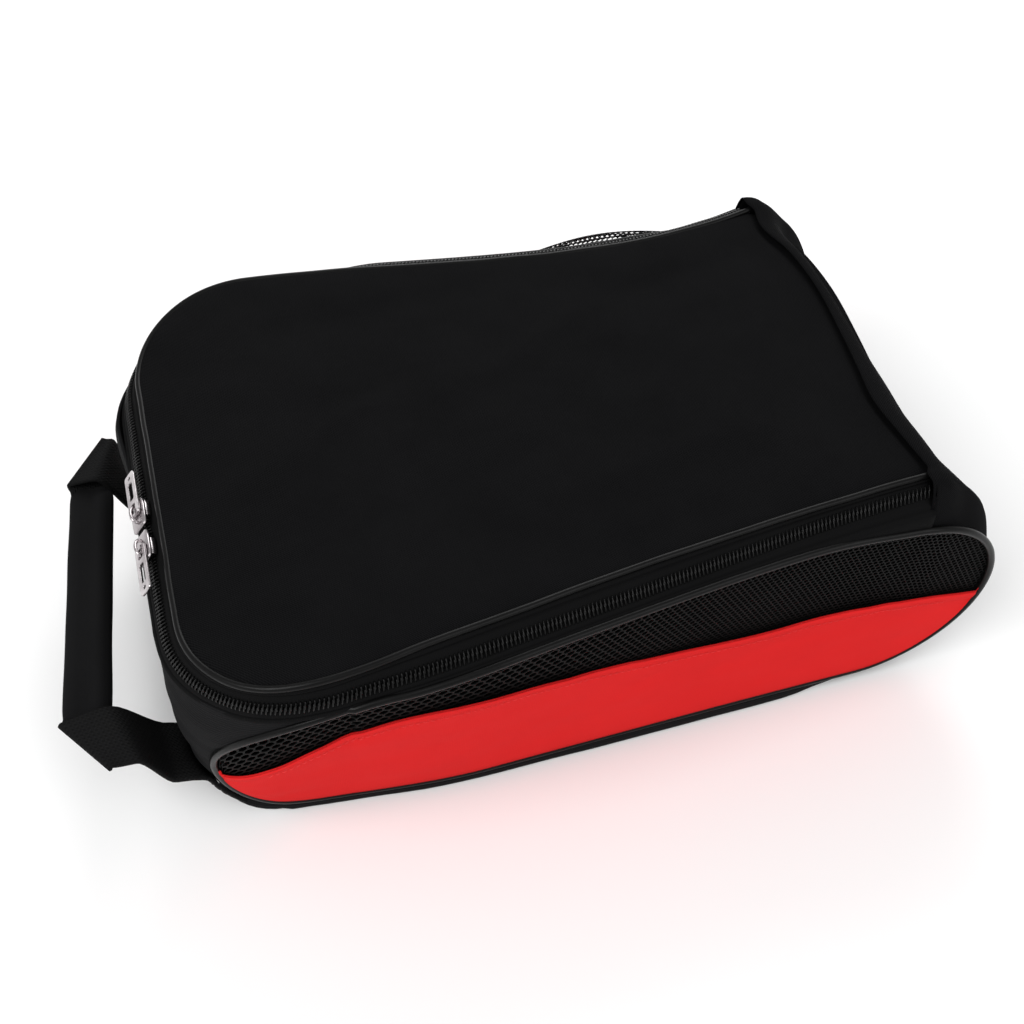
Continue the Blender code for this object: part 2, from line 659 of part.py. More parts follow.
# ---- Handle ------------------------------------------------------------------------------------------
def make_handle(side, word, material):
    """The webbing's sewn end, flat on the end panel, and its leg out to the grip."""
    patch_top = HANDLE_ROOT_Z - WEBBING_THICK / 2 - FIT
    rows = []
    for i in range(6):
        z = blend(ANCHOR_Z, patch_top, i / 5)
        row = []
        for k in range(7):
            y = HANDLE_ROOT_Y + WEBBING_WIDTH * (k / 6 - 0.5)
            x = wall_x(y, z / seam_height(-LID_HALF))
            row.append(Vector((x - 3 * FIT, side * y, z)))
        rows.append(row if side > 0 else row[::-1])
    sheet("handle_anchor_" + word, rows, WEBBING_THICK, material)

    fold = GRIP_NEAR if side < 0 else GRIP_FAR
    rows = []
    for i in range(9):
        t = i / 8
        row = []
        for k in (-0.5, 0.0, 0.5):
            start = Vector((HANDLE_ROOT_X, side * (HANDLE_ROOT_Y + k * WEBBING_WIDTH), 0))
            tip = Vector((fold.x + k * GRIP_WIDTH, fold.y + side * (k + 0.5) * FOLD_RUN, 0))
            point = start.lerp(tip, t)
            point.z = blend(HANDLE_ROOT_Z, fold.z + LEG_LIFT, smooth_step(t / LEG_RISE))
            point.z -= LEG_TWIST * k * WEBBING_WIDTH * math.sin(math.pi * t)
            row.append(point)
        rows.append(row if side > 0 else row[::-1])
    sheet("handle_leg_" + word, rows, WEBBING_THICK, material, 0.0)


def make_grip(sleeve_material, core_material):
    """A flat cloth sleeve round the folded webbing."""
    run = GRIP_FAR - GRIP_NEAR
    grip = (Matrix.Translation((GRIP_NEAR + GRIP_FAR) / 2)
            @ Matrix.Rotation(-math.atan2(run.x, run.y), 4, "Z"))
    sleeve = add_object("handle_grip_sleeve",
                        box_mesh("sleeve", (GRIP_WIDTH, run.length - 0.004, GRIP_THICK), (0, 0, 0)),
                        sleeve_material)
    hole = bpy.data.objects.new("sleeve_hole", box_mesh(
        "hole", (CORE_WIDTH + 2 * FIT, run.length + 0.02, CORE_THICK + 2 * FIT), (0, 0, 0)))
    for thing in (sleeve, hole):
        thing.matrix_world = grip
    join(sleeve, hole, "DIFFERENCE")
    core = add_object("handle_core",
                      box_mesh("core", (CORE_WIDTH, run.length - 0.002, CORE_THICK), (0, 0, 0)),
                      core_material)
    core.matrix_world = grip
    edge = core.modifiers.new("edge", "BEVEL")
    edge.width, edge.segments = 0.0010, 2


# ---- Assembly ----------------------------------------------------------------------------------------
clear_scene()
parts = make_collection("golf_shoe_bag")
cutters = make_collection("cutters")

black_cloth = make_material("black_cloth", (0.012, 0.012, 0.014), 0.85)
red_cloth = make_material("red_cloth", (0.66, 0.022, 0.024), 0.75)
black_mesh = make_material("black_mesh", (0.010, 0.010, 0.011), 0.70)
black_pvc = make_material("black_pvc", (0.012, 0.012, 0.013), 0.30)
zipper_nylon = make_material("zipper_nylon", (0.014, 0.014, 0.015), 0.45)
webbing = make_material("webbing", (0.013, 0.013, 0.014), 0.80)
nickel = make_material("nickel", (0.72, 0.70, 0.70), 0.22, 1.0)

make_back_panel(black_cloth)
make_handle_end_panel(black_cloth)
make_toe_end_panel(black_cloth)
for side, word in ((1, "near"), (-1, "far")):
    make_side_panels(side, word, black_mesh, red_cloth)
    make_side_piping(side, word, black_pvc)
    make_seam_binding(side, word, black_cloth)
make_zipper(black_cloth, zipper_nylon)
make_lid_panel(black_cloth)
make_lid_piping(black_pvc)
make_lid_binding(black_cloth)
for side, word in ((-1, "near"), (1, "far")):
    make_slider(side, word, nickel)
    make_puller(side, word, nickel)
    make_handle(side, word, webbing)
make_grip(black_cloth, webbing)
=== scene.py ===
"""The looks of the golf shoe bag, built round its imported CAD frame.  Metres, +Z up, -Y is the near side."""
import math

import bmesh
import bpy
from mathutils import Matrix, Vector, noise


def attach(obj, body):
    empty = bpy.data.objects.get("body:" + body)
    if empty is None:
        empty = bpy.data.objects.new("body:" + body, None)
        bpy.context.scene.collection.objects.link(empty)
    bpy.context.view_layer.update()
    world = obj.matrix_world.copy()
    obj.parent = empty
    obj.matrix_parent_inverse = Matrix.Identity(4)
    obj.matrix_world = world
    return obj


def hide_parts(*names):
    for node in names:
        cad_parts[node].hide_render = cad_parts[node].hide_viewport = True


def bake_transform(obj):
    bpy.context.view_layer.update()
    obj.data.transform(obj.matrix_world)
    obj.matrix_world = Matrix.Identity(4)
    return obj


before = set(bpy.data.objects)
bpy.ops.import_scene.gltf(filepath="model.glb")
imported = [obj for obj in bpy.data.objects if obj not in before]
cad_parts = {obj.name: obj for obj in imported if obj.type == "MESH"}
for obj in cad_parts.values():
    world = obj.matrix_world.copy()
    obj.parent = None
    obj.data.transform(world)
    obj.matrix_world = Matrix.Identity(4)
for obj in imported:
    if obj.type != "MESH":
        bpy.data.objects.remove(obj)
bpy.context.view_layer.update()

# ---- The CAD's driving dimensions ----------------------------------------------------------------------
LID_HALF = 0.160
LID_WIDTH = (0.104, -0.0229, 0.0053, 0.0085)
RIM_HEIGHT = (0.1356, -0.0026, 0.0021, 0.0091)
CORNER_X, CORNER_Y, CORNER_POWER = 0.060, 0.0515, 2.2
END_DROP = 0.006
BAND_SLOPE_SIDE, BAND_SLOPE_CORNER, BAND_SLOPE_END = (math.radians(a) for a in (34, 74, 52))
SEAM_O, CHAIN_O = 0.0180, 0.0102
PIPING_R = 0.0018
BASE_HALF_WIDTH, BASE_TAPER, BASE_TAPER_X, BASE_TAPER_RUN = 0.104, 0.010, -0.040, 0.120
BASE_HANDLE_X, BASE_TOE_X, BASE_CORNER = -0.1625, 0.1495, 0.030
WALL_END_X, WALL_CORNER, WALL_CORNER_TOP, WALL_BULGE = -0.1625, 0.032, 0.0685, 0.004
TOE_SEAM_X, TOE_CENTRE_X, TOE_REACH = 0.160, 0.150, 0.054
TOE_MIDDLE_REACH, TOE_HALF_HEIGHT, TOE_MIDDLE_POWER = 0.050, 0.0722, 1.6
TOE_SIDE_Y, TOE_SIDE_RUN, TOE_SHOULDER_Y, TOE_SHOULDER = 0.080, 0.018, 0.095, 0.011
OVAL_MIDDLE_Z, OVAL_LEFT_X, OVAL_LEFT_REACH = 0.062, -0.078, 0.082
OVAL_LOW_X, OVAL_LOW_REACH, OVAL_LOW_Z = -0.118, 0.042, 0.0075
OVAL_TOE_Z, OVAL_TOE_HALF = 0.0660, 0.0585
RED_EDGE = ((-0.157, 0.055), (-0.130, 0.073), (-0.100, 0.091), (-0.075, 0.097), (-0.030, 0.093),
            (0.030, 0.080), (0.090, 0.072), (0.150, 0.070), (0.204, 0.060))
LID_CROWN = 0.003
SLIDER_MIDDLE_Y, SLIDER_Y = -0.0135, 0.0095
WEBBING_WIDTH = 0.030
HANDLE_ROOT = Vector((-0.1735, 0.079, 0.042))
GRIP_NEAR, GRIP_FAR = Vector((-0.2100, -0.0660, 0.062)), Vector((-0.1960, 0.0700, 0.062))
GRIP_WIDTH, FOLD_RUN = 0.0190, 0.027
SIDE_SHARE, CORNER_SHARE = 0.60, 0.22
CORNER_START_X = -LID_HALF + CORNER_X

# ---- Looks ---------------------------------------------------------------------------------------------
TOOTH_PITCH = 0.00182
CHAIN_GATHER, CHAIN_GATHER_RUN = 0.34, 0.34
NET_PUCKER_X, NET_PUCKER_HALF = 0.084, 0.052    # the far net's pucker
NET_PUCKER_DEEP, NET_PUCKER_OUT = 0.045, 0.018
LID_UNDER_TOE = 0.0100          # how far it runs on under the toe panel's folded edge
SEAM_WAVE = ((-1.0, -0.001), (-0.78, -0.0035), (-0.52, -0.0057), (-0.30, -0.0030), (-0.05, 0.0),
             (0.30, 0.0030), (0.60, 0.0015), (0.82, -0.0038), (1.0, -0.001))


# ---- Helpers -------------------------------------------------------------------------------------------
def smooth_step(value):
    value = min(max(value, 0.0), 1.0)
    return value * value * (3.0 - 2.0 * value)


def mix(a, b, share):
    return a + (b - a) * share


def cubic(terms, x):
    u = x / LID_HALF
    return sum(term * u ** power for power, term in enumerate(terms))


def through(points, x):
    """Value at x on a smooth line through a few points."""
    xs = [p[0] for p in points]
    if x <= xs[0]:
        return points[0][1]
    if x >= xs[-1]:
        return points[-1][1]
    i = max(k for k in range(len(xs) - 1) if xs[k] <= x)
    slopes = []
    for k in (i, i + 1):
        low, high = max(k - 1, 0), min(k + 1, len(points) - 1)
        slopes.append((points[high][1] - points[low][1]) / (points[high][0] - points[low][0]))
    width = xs[i + 1] - xs[i]
    t = (x - xs[i]) / width
    return ((2 * t ** 3 - 3 * t ** 2 + 1) * points[i][1] + (t ** 3 - 2 * t ** 2 + t) * width * slopes[0]
            + (3 * t ** 2 - 2 * t ** 3) * points[i + 1][1] + (t ** 3 - t ** 2) * width * slopes[1])


def ripple(x, y, z, size, seed=0.0):
    """Smooth noise from -1 to 1 whose features are about size metres across."""
    return noise.noise(Vector((x / size + seed, y / size - seed, z / size + 2.3 * seed)))


def new_object(name, verts, faces, material, smooth=True):
    mesh = bpy.data.meshes.new(name)
    mesh.from_pydata([tuple(v) for v in verts], [], faces)
    mesh.validate()
    if smooth:
        mesh.shade_smooth()
    thing = bpy.data.objects.new(name, mesh)
    bpy.context.scene.collection.objects.link(thing)
    mesh.materials.append(material)
    return thing


def weave_coordinates(thing, values):
    layer = thing.data.attributes.new("weave", "FLOAT_VECTOR", "POINT")
    layer.data.foreach_set("vector", [c for u, v in values for c in (u, v, 0.0)])


def grid(name, rows, material, thickness=0.0, offset=-1.0, closed=False):
    """A cloth surface through rows of points, with thread coordinates in metres on it."""
    wide = len(rows[0])
    verts = [point for row in rows for point in row]
    faces = []
    for r in range(len(rows) - 1):
        for c in range(wide if closed else wide - 1):
            d = (c + 1) % wide
            faces.append((r * wide + c, r * wide + d, (r + 1) * wide + d, (r + 1) * wide + c))
    thing = new_object(name, verts, faces, material)
    middle = wide // 2
    across, values = 0.0, []
    for r, row in enumerate(rows):
        if r:
            across += (row[middle] - rows[r - 1][middle]).length
        lengths = [0.0]
        for a, b in zip(row, row[1:]):
            lengths.append(lengths[-1] + (b - a).length)
        values += [(length - lengths[middle], across) for length in lengths]
    weave_coordinates(thing, values)
    if thickness:
        solid = thing.modifiers.new("thickness", "SOLIDIFY")
        solid.thickness, solid.offset = thickness, offset
    return thing


def tube_data(points, radii, sides, closed=False, flat=1.0, up=None):
    """Vertices and faces of a round or flattened cord along points."""
    verts, faces = [], []
    count = len(points)
    normal = up
    for i, point in enumerate(points):
        before = points[(i - 1) % count] if closed or i else points[0]
        after = points[(i + 1) % count] if closed or i < count - 1 else points[-1]
        along = (after - before).normalized()
        if normal is None:
            normal = Vector((0, 0, 1)) if abs(along.z) < 0.9 else Vector((1, 0, 0))
        normal = (normal - along * normal.dot(along)).normalized()
        side = along.cross(normal)
        radius = radii[i] if isinstance(radii, (list, tuple)) else radii
        for s in range(sides):
            a = 2 * math.pi * s / sides
            verts.append(point + side * math.cos(a) * radius + normal * math.sin(a) * radius * flat)
    rings = count if closed else count - 1
    for i in range(rings):
        j = (i + 1) % count
        for s in range(sides):
            t = (s + 1) % sides
            faces.append((i * sides + s, j * sides + s, j * sides + t, i * sides + t))
    if not closed:
        faces.append(tuple(range(sides)))
        faces.append(tuple(reversed(range((count - 1) * sides, count * sides))))
    return verts, faces


def cord(name, points, radius, material, sides=12, closed=False):
    verts, faces = tube_data(points, radius, sides, closed)
    return new_object(name, verts, faces, material)


def many(name, pieces, material):
    """One object of many small closed pieces, each given as (vertices, faces)."""
    verts, faces = [], []
    for piece_verts, piece_faces in pieces:
        start = len(verts)
        verts += piece_verts
        faces += [tuple(i + start for i in face) for face in piece_faces]
    return new_object(name, verts, faces, material)


def done(thing, body, slot, *nodes):
    """Says which CAD body the piece rides on and the CAD nodes that it stands for; the slot argument, its
    finish, is not used.
    """
    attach(thing, body)
    if nodes:
        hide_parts(*nodes)
    return thing


def done_lid(thing, node):
    """For a piece of the lid, whose last stretch is sewn in under the toe panel and stays there."""
    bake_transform(thing)
    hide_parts(node)


# ---- Materials -----------------------------------------------------------------------------------------
def new_material(name, colour, roughness, metallic=0.0, specular=0.5):
    material = bpy.data.materials.new(name)
    material.use_nodes = True
    shader = material.node_tree.nodes["Principled BSDF"]
    shader.inputs["Base Color"].default_value = (*colour, 1.0)
    shader.inputs["Roughness"].default_value = roughness
    shader.inputs["Metallic"].default_value = metallic
    shader.inputs["Specular IOR Level"].default_value = specular
    return material, material.node_tree, shader


def math_node(tree, operation, a, b=None, clamp=False):
    node = tree.nodes.new("ShaderNodeMath")
    node.operation, node.use_clamp = operation, clamp
    for socket, value in zip(node.inputs, (a, b)):
        if value is None:
            continue
        if isinstance(value, (int, float)):
            socket.default_value = value
        else:
            tree.links.new(value, socket)
    return node.outputs[0]


def noise_node(tree, vector, scale, detail=2.0, rough=0.5):
    node = tree.nodes.new("ShaderNodeTexNoise")
    node.inputs["Scale"].default_value = scale
    node.inputs["Detail"].default_value = detail
    node.inputs["Roughness"].default_value = rough
    tree.links.new(vector, node.inputs["Vector"])
    return node.outputs["Fac"]


def ramp(tree, value, stops):
    node = tree.nodes.new("ShaderNodeValToRGB")
    elements = node.color_ramp.elements
    while len(elements) < len(stops):
        elements.new(0.5)
    for element, (place, colour) in zip(elements, stops):
        element.position, element.color = place, (*colour, 1.0)
    tree.links.new(value, node.inputs["Fac"])
    return node.outputs["Color"]


def bump(tree, shader, height, distance, strength=1.0):
    node = tree.nodes.new("ShaderNodeBump")
    node.inputs["Distance"].default_value = distance
    node.inputs["Strength"].default_value = strength
    tree.links.new(height, node.inputs["Height"])
    tree.links.new(node.outputs["Normal"], shader.inputs["Normal"])


def cloth_material(name, low, high, pitch, depth, roughness=0.85, ribs=0.5, specular=0.12, sheen=0.0,
                   pattern="oxford"):
    """Woven cloth: threads from the weave coordinates, uneven shade and fuzz from position."""
    material, tree, shader = new_material(name, high, roughness, 0.0, specular)
    shader.inputs["Sheen Weight"].default_value = sheen
    shader.inputs["Sheen Roughness"].default_value = 0.5
    attribute = tree.nodes.new("ShaderNodeAttribute")
    attribute.attribute_name = "weave"
    split = tree.nodes.new("ShaderNodeSeparateXYZ")
    tree.links.new(attribute.outputs["Vector"], split.inputs[0])
    place = tree.nodes.new("ShaderNodeTexCoord").outputs["Object"]
    wobble = math_node(tree, "MULTIPLY", noise_node(tree, place, 90.0), 0.6)
    turn = 2 * math.pi / pitch
    u = math_node(tree, "ADD", math_node(tree, "MULTIPLY", split.outputs[0], turn), wobble)
    v = math_node(tree, "ADD", math_node(tree, "MULTIPLY", split.outputs[1], turn), wobble)
    wave_u, wave_v = math_node(tree, "SINE", u), math_node(tree, "SINE", v)
    crossing = math_node(tree, "MULTIPLY", wave_u, wave_v)
    if pattern == "twill":
        crossing = math_node(tree, "SINE", math_node(tree, "ADD", u, v))
    height = math_node(tree, "ADD", math_node(tree, "MULTIPLY", wave_v, 0.5 * ribs),
                       math_node(tree, "MULTIPLY", crossing, 0.5 * (1 - ribs)))
    height = math_node(tree, "ADD", height, 0.5)
    fuzz = noise_node(tree, place, 1400.0, 3.0, 0.7)
    shade = noise_node(tree, place, 26.0, 4.0, 0.6)
    level = math_node(tree, "ADD", math_node(tree, "MULTIPLY", height, 0.45),
                      math_node(tree, "MULTIPLY", fuzz, 0.30))
    level = math_node(tree, "ADD", level, math_node(tree, "MULTIPLY", shade, 0.35), clamp=True)
    colour = ramp(tree, level, ((0.15, low), (0.95, high)))
    tree.links.new(colour, shader.inputs["Base Color"])
    rough = math_node(tree, "ADD", math_node(tree, "MULTIPLY", fuzz, 0.12), roughness - 0.06)
    tree.links.new(rough, shader.inputs["Roughness"])
    uneven = math_node(tree, "ADD", height, math_node(tree, "MULTIPLY", fuzz, 0.5))
    bump(tree, shader, uneven, depth)
    return material


def plain_material(name, low, high, roughness, metallic=0.0, specular=0.5, grain=600.0, depth=0.00003,
                   coat=0.0):
    """Moulded plastic or plated metal with slight unevenness; the dark and light colour patches are uneven
    tone on the plastic, net and thread finishes, and painted reflections on the nickel.
    """
    material, tree, shader = new_material(name, high, roughness, metallic, specular)
    shader.inputs["Coat Weight"].default_value = coat
    shader.inputs["Coat Roughness"].default_value = 0.15
    place = tree.nodes.new("ShaderNodeTexCoord").outputs["Object"]
    tone_and_painted_reflection = noise_node(tree, place, 60.0, 4.0, 0.6)
    fine = noise_node(tree, place, grain, 2.0, 0.5)
    # Colour patches from the noise: uneven tone for plastic, net and thread, painted reflections for the
    # nickel.
    colour = ramp(tree, tone_and_painted_reflection, ((0.3, low), (0.7, high)))
    tree.links.new(colour, shader.inputs["Base Color"])
    rough = math_node(tree, "ADD", math_node(tree, "MULTIPLY", fine, 0.16), roughness - 0.08)
    tree.links.new(rough, shader.inputs["Roughness"])
    bump(tree, shader, fine, depth)
    return material


BLACK_CLOTH = cloth_material("black_cloth", (0.0006, 0.0006, 0.0008), (0.0074, 0.0074, 0.0079), 0.00110,
                             0.00016, ribs=0.25, sheen=0.002, specular=0.03, pattern="twill")
WALL_CLOTH = cloth_material("black_cloth_walls", (0.0030, 0.0030, 0.0033), (0.0120, 0.0119, 0.0126),
                            0.00130, 0.00016, ribs=0.75, sheen=0.008, specular=0.06)
TAPE_CLOTH = cloth_material("zipper_tape_cloth", (0.0014, 0.0014, 0.0015), (0.0046, 0.0046, 0.0048), 0.0007,
                            0.00006, ribs=0.6, roughness=0.78, specular=0.06)
RED_CLOTH = cloth_material("red_cloth", (0.56, 0.012, 0.013), (0.72, 0.020, 0.020), 0.0008, 0.00006,
                           ribs=0.3, sheen=0.0, specular=0.06)
WEBBING = cloth_material("webbing", (0.0022, 0.0022, 0.0023), (0.0105, 0.0105, 0.0108), 0.0021, 0.00045,
                         ribs=0.35, specular=0.07)
SLEEVE_CLOTH = cloth_material("grip_cloth", (0.0026, 0.0026, 0.0028), (0.0085, 0.0085, 0.0090), 0.0009,
                              0.00006, ribs=0.3, sheen=0.006, specular=0.06)
NET = plain_material("black_net", (0.002, 0.002, 0.002), (0.004, 0.004, 0.004), 0.62, specular=0.07,
                     grain=2500.0, depth=0.00006)
PVC = plain_material("black_pvc", (0.002, 0.002, 0.002), (0.004, 0.004, 0.004), 0.33, specular=0.12)
NYLON = plain_material("zipper_nylon", (0.002, 0.002, 0.002), (0.004, 0.004, 0.004), 0.30, specular=0.16)
THREAD = plain_material("black_thread", (0.003, 0.003, 0.003), (0.006, 0.006, 0.006), 0.6, specular=0.15)
RED_THREAD = plain_material("red_thread", (0.60, 0.02, 0.02), (0.72, 0.035, 0.035), 0.6, specular=0.3)
# Nickel: its dark-to-light colour patches are painted reflections, and its colour is darkened to stand in for
# dark surroundings reflected in it.
NICKEL_PAINTED_REFLECTIONS = plain_material("nickel", (0.26, 0.23, 0.24), (0.60, 0.57, 0.58), 0.22, metallic=1.0,
                        grain=900.0, depth=0.00001)


# ---- The lid's edge and the zipper band ----------------------------------------------------------------
def rim_near(q):
    """The lid's edge on the near side: q runs from 0 at the toe to 1 at the handle end's middle."""
    corner_width = cubic(LID_WIDTH, CORNER_START_X)
    if q < SIDE_SHARE:
        x = mix(LID_HALF, CORNER_START_X, q / SIDE_SHARE)
        y, drop = cubic(LID_WIDTH, x), 0.0
    else:
        turn = min((q - SIDE_SHARE) / CORNER_SHARE, 1.0) * math.pi / 2
        along = CORNER_X * math.sin(turn) ** (2 / CORNER_POWER)
        x = CORNER_START_X - along
        spread = 0.12 * along * (1 - along / CORNER_X)
        y = corner_width - CORNER_Y + spread + CORNER_Y * abs(math.cos(turn)) ** (2 / CORNER_POWER)
        drop = END_DROP * (along / CORNER_X) ** 2
    if q > SIDE_SHARE + CORNER_SHARE:
        y = (corner_width - CORNER_Y) * (1 - q) / (1 - SIDE_SHARE - CORNER_SHARE)
    return Vector((x, -y, cubic(RIM_HEIGHT, x) - drop))


def band_slope(q):
    if q < SIDE_SHARE + CORNER_SHARE / 2:
        return mix(BAND_SLOPE_SIDE, BAND_SLOPE_CORNER, smooth_step((q - 0.44) / 0.2))
    return mix(BAND_SLOPE_CORNER, BAND_SLOPE_END, smooth_step((q - 0.71) / 0.13))


def band_frame(q):
    here = rim_near(q)
    along = rim_near(min(q + 0.002, 1.0)) - rim_near(max(q - 0.002, 0.0))
    out = Vector((-along.y, along.x, 0)).normalized()
    slope = band_slope(q)
    down_band = math.cos(slope) * out - Vector((0, 0, math.sin(slope)))
    up = math.sin(slope) * out + Vector((0, 0, math.cos(slope)))
    return here, down_band, up


def band_point(q, distance, lift=0.0):
    """A point on the band, on the near half for q in 0..1 and mirrored for q in 1..2."""
    mirrored = q > 1.0
    here, down_band, up = band_frame(2.0 - q if mirrored else q)
    place = here + down_band * distance + up * lift
    return Vector((place.x, -place.y, place.z)) if mirrored else place


def chain_o(q):
    """Distance of the chain's middle from the piping: the lid's tape is gathered towards the toe."""
    return CHAIN_O * (1 - CHAIN_GATHER * (1 - smooth_step(min(q, 2 - q) / CHAIN_GATHER_RUN)))


def stations(side, corner, end, start=0.004):
    near = [mix(start, SIDE_SHARE, i / side) for i in range(side)]
    near += [SIDE_SHARE + CORNER_SHARE * i / corner for i in range(corner)]
    near += [mix(SIDE_SHARE + CORNER_SHARE, 1.0, i / end) for i in range(end)]
    return near + [1.0] + [2.0 - q for q in reversed(near)]


def q_at_x(x):
    return SIDE_SHARE * (LID_HALF - x) / (LID_HALF - CORNER_START_X)


def slope_at_x(x):
    if x > CORNER_START_X:
        return band_slope(q_at_x(x))
    past = (CORNER_START_X - x) / CORNER_X
    return mix(BAND_SLOPE_CORNER, BAND_SLOPE_END, smooth_step(past * 1.5 - 0.5))


# ---- The walls' shape ----------------------------------------------------------------------------------
def seam_height(x):
    inside = min(max(x, -LID_HALF), LID_HALF)
    drop = END_DROP * max((CORNER_START_X - inside) / CORNER_X, 0.0) ** 2
    return cubic(RIM_HEIGHT, inside) - drop - SEAM_O * math.sin(slope_at_x(inside))


def base_half(x):
    return BASE_HALF_WIDTH - BASE_TAPER * smooth_step((BASE_TAPER_X - x) / BASE_TAPER_RUN)


def wall_end(share):
    top_x = -LID_HALF - SEAM_O * math.cos(BAND_SLOPE_END)
    end = mix(WALL_END_X, top_x, share) - WALL_BULGE * 4 * share * (1 - share)
    return end, mix(WALL_CORNER, WALL_CORNER_TOP, share ** 3)


def wall_outline(x, share):
    inside = min(max(x, CORNER_START_X), LID_HALF)
    top = cubic(LID_WIDTH, inside) + SEAM_O * math.cos(slope_at_x(inside))
    half = mix(base_half(x), top, share)
    end, corner = wall_end(share)
    past = end + corner - x
    if past <= 0:
        return half
    past = min(past / corner, 1.0)
    return half - corner + corner * (1 - past ** CORNER_POWER) ** (1 / CORNER_POWER)


def wall_x(y, share):
    end, corner = wall_end(share)
    outside, inside = end, end + corner
    for _ in range(24):
        middle = (outside + inside) / 2
        if wall_outline(middle, share) < y:
            outside = middle
        else:
            inside = middle
    return outside


def side_point(x, z, depth=0.0):
    share = min(max(z / seam_height(x), 0.0), 1.0)
    return Vector((x, -(wall_outline(x, share) - depth), z))


def oval_top(x):
    if x < OVAL_LEFT_X:
        rise = seam_height(OVAL_LEFT_X) - OVAL_MIDDLE_Z
        reach = min((OVAL_LEFT_X - x) / OVAL_LEFT_REACH, 1.0)
        return OVAL_MIDDLE_Z + rise * math.sqrt(1 - reach * reach)
    if x > TOE_CENTRE_X:
        reach = min((x - TOE_CENTRE_X) / TOE_REACH, 1.0)
        return OVAL_TOE_Z + OVAL_TOE_HALF * math.sqrt(1 - reach * reach)
    return mix(seam_height(x), OVAL_TOE_Z + OVAL_TOE_HALF, smooth_step((x - 0.09) / 0.06))


def oval_low(x):
    if x < OVAL_LOW_X:
        reach = min((OVAL_LOW_X - x) / OVAL_LOW_REACH, 1.0)
        return OVAL_MIDDLE_Z - (OVAL_MIDDLE_Z - OVAL_LOW_Z) * math.sqrt(1 - reach * reach)
    if x > TOE_CENTRE_X:
        reach = min((x - TOE_CENTRE_X) / TOE_REACH, 1.0)
        return OVAL_TOE_Z - OVAL_TOE_HALF * math.sqrt(1 - reach * reach)
    return OVAL_LOW_Z


OVAL_TIP_X, OVAL_TOE_X = OVAL_LEFT_X - OVAL_LEFT_REACH, TOE_CENTRE_X + TOE_REACH


def oval_outline(count, margin=0.0):
    """(x, z) along the bottom of the oval, then back on top, moved inwards by a margin."""
    middle, half = (OVAL_TIP_X + OVAL_TOE_X) / 2, (OVAL_TOE_X - OVAL_TIP_X) / 2
    xs = [middle - half * math.cos(math.pi * i / count) for i in range(count + 1)]
    points = [(x, oval_low(x)) for x in xs] + [(x, oval_top(x)) for x in reversed(xs[1:-1])]
    result = []
    for i, (x, z) in enumerate(points):
        before, after = points[i - 1], points[(i + 1) % len(points)]
        dx, dz = after[0] - before[0], after[1] - before[1]
        length = math.hypot(dx, dz)
        result.append((x - dz / length * margin, z + dx / length * margin))
    return result


def sided(points, side):
    """side 1 keeps the near side's points, -1 gives the far side's."""
    return [Vector((p.x, p.y * side, p.z)) for p in points]


# ---- Lid -----------------------------------------------------------------------------------------------
LID_RIDGES = ((-0.075, 0.005, 20, 0.075, 0.0065, 0.0010), (0.010, 0.030, 24, 0.085, 0.008, 0.0010),
              (-0.020, -0.040, 16, 0.090, 0.008, -0.0009), (0.080, 0.000, 34, 0.055, 0.007, 0.0008),
              (-0.110, -0.055, 10, 0.040, 0.007, 0.0008), (0.095, 0.060, 8, 0.050, 0.009, -0.0009),
              (0.050, -0.050, 12, 0.060, 0.006, 0.0006), (-0.060, 0.075, 6, 0.070, 0.009, -0.0008))


def lid_folds(x, y):
    """Soft shallow folds of the lid's cloth."""
    height = 0.0016 * ripple(x, y * 1.5, 0, 0.075, 1.7) + 0.0007 * ripple(x, y * 1.3, 0, 0.026, 4.1)
    for mid_x, mid_y, angle, length, width, rise in LID_RIDGES:
        c, s = math.cos(math.radians(angle)), math.sin(math.radians(angle))
        along, across = (x - mid_x) * c + (y - mid_y) * s, (y - mid_y) * c - (x - mid_x) * s
        across += 0.006 * ripple(x, y, 0, 0.05, 9.0)
        height += 1.5 * rise * math.exp(-(along / length) ** 2 * 2 - (across / width) ** 2)
    return height


def toe_seam_x(share):
    """Where the toe panel's wavy folded edge lies on the lid; share runs from -1 near to 1 far."""
    return TOE_SEAM_X + through(SEAM_WAVE, share)


def make_lid():
    rows = []
    for q in stations(90, 34, 1, 0.0)[:125]:
        here, down_band, _ = band_frame(q)
        edge = here - Vector((down_band.x, down_band.y, 0)).normalized() * 0.0012
        half = -edge.y
        row = []
        for k in range(48, -49, -1):
            share = math.sin(k / 48 * math.pi / 2)
            y = half * share            # near to far
            x = edge.x
            if x > 0.120:
                x += (toe_seam_x(share) + LID_UNDER_TOE - TOE_SEAM_X) * smooth_step((x - 0.120) / 0.040)
            inward = min(half - abs(y), (edge.x + LID_HALF) * 1.2 + 0.0002, 0.162 - edge.x)
            off_end = 1 - max(1 - max(x + LID_HALF, 0.0) / 0.045, 0.0) ** 2
            crown = LID_CROWN * off_end * smooth_step((0.1592 - x) / 0.06) * (1 - share * share)
            dip = 0.0011 * math.exp(-inward / 0.0022)
            folds = lid_folds(x, y) * smooth_step(inward / 0.030)
            under = max(x - toe_seam_x(share) + 0.0012, 0.0)
            tuck = 1.3 * min(under, 0.0020) + 0.15 * max(under - 0.0020, 0.0)
            row.append(Vector((x, y, edge.z + 0.0009 + crown - dip + folds - tuck)))
        rows.append(row)
    lid = grid("lid_skin", rows, BLACK_CLOTH, 0.0012)
    done_lid(lid, "lid_panel")

    points = []
    for q in stations(110, 44, 14, 0.0035):
        wander = 0.0003 * ripple(q * 3, 0, 0, 0.16, 2.0)
        points.append(band_point(q, wander, 0.0002 + wander))
    done_lid(cord("lid_piping_cord", points, 0.0016, PVC, 14), "lid_piping")


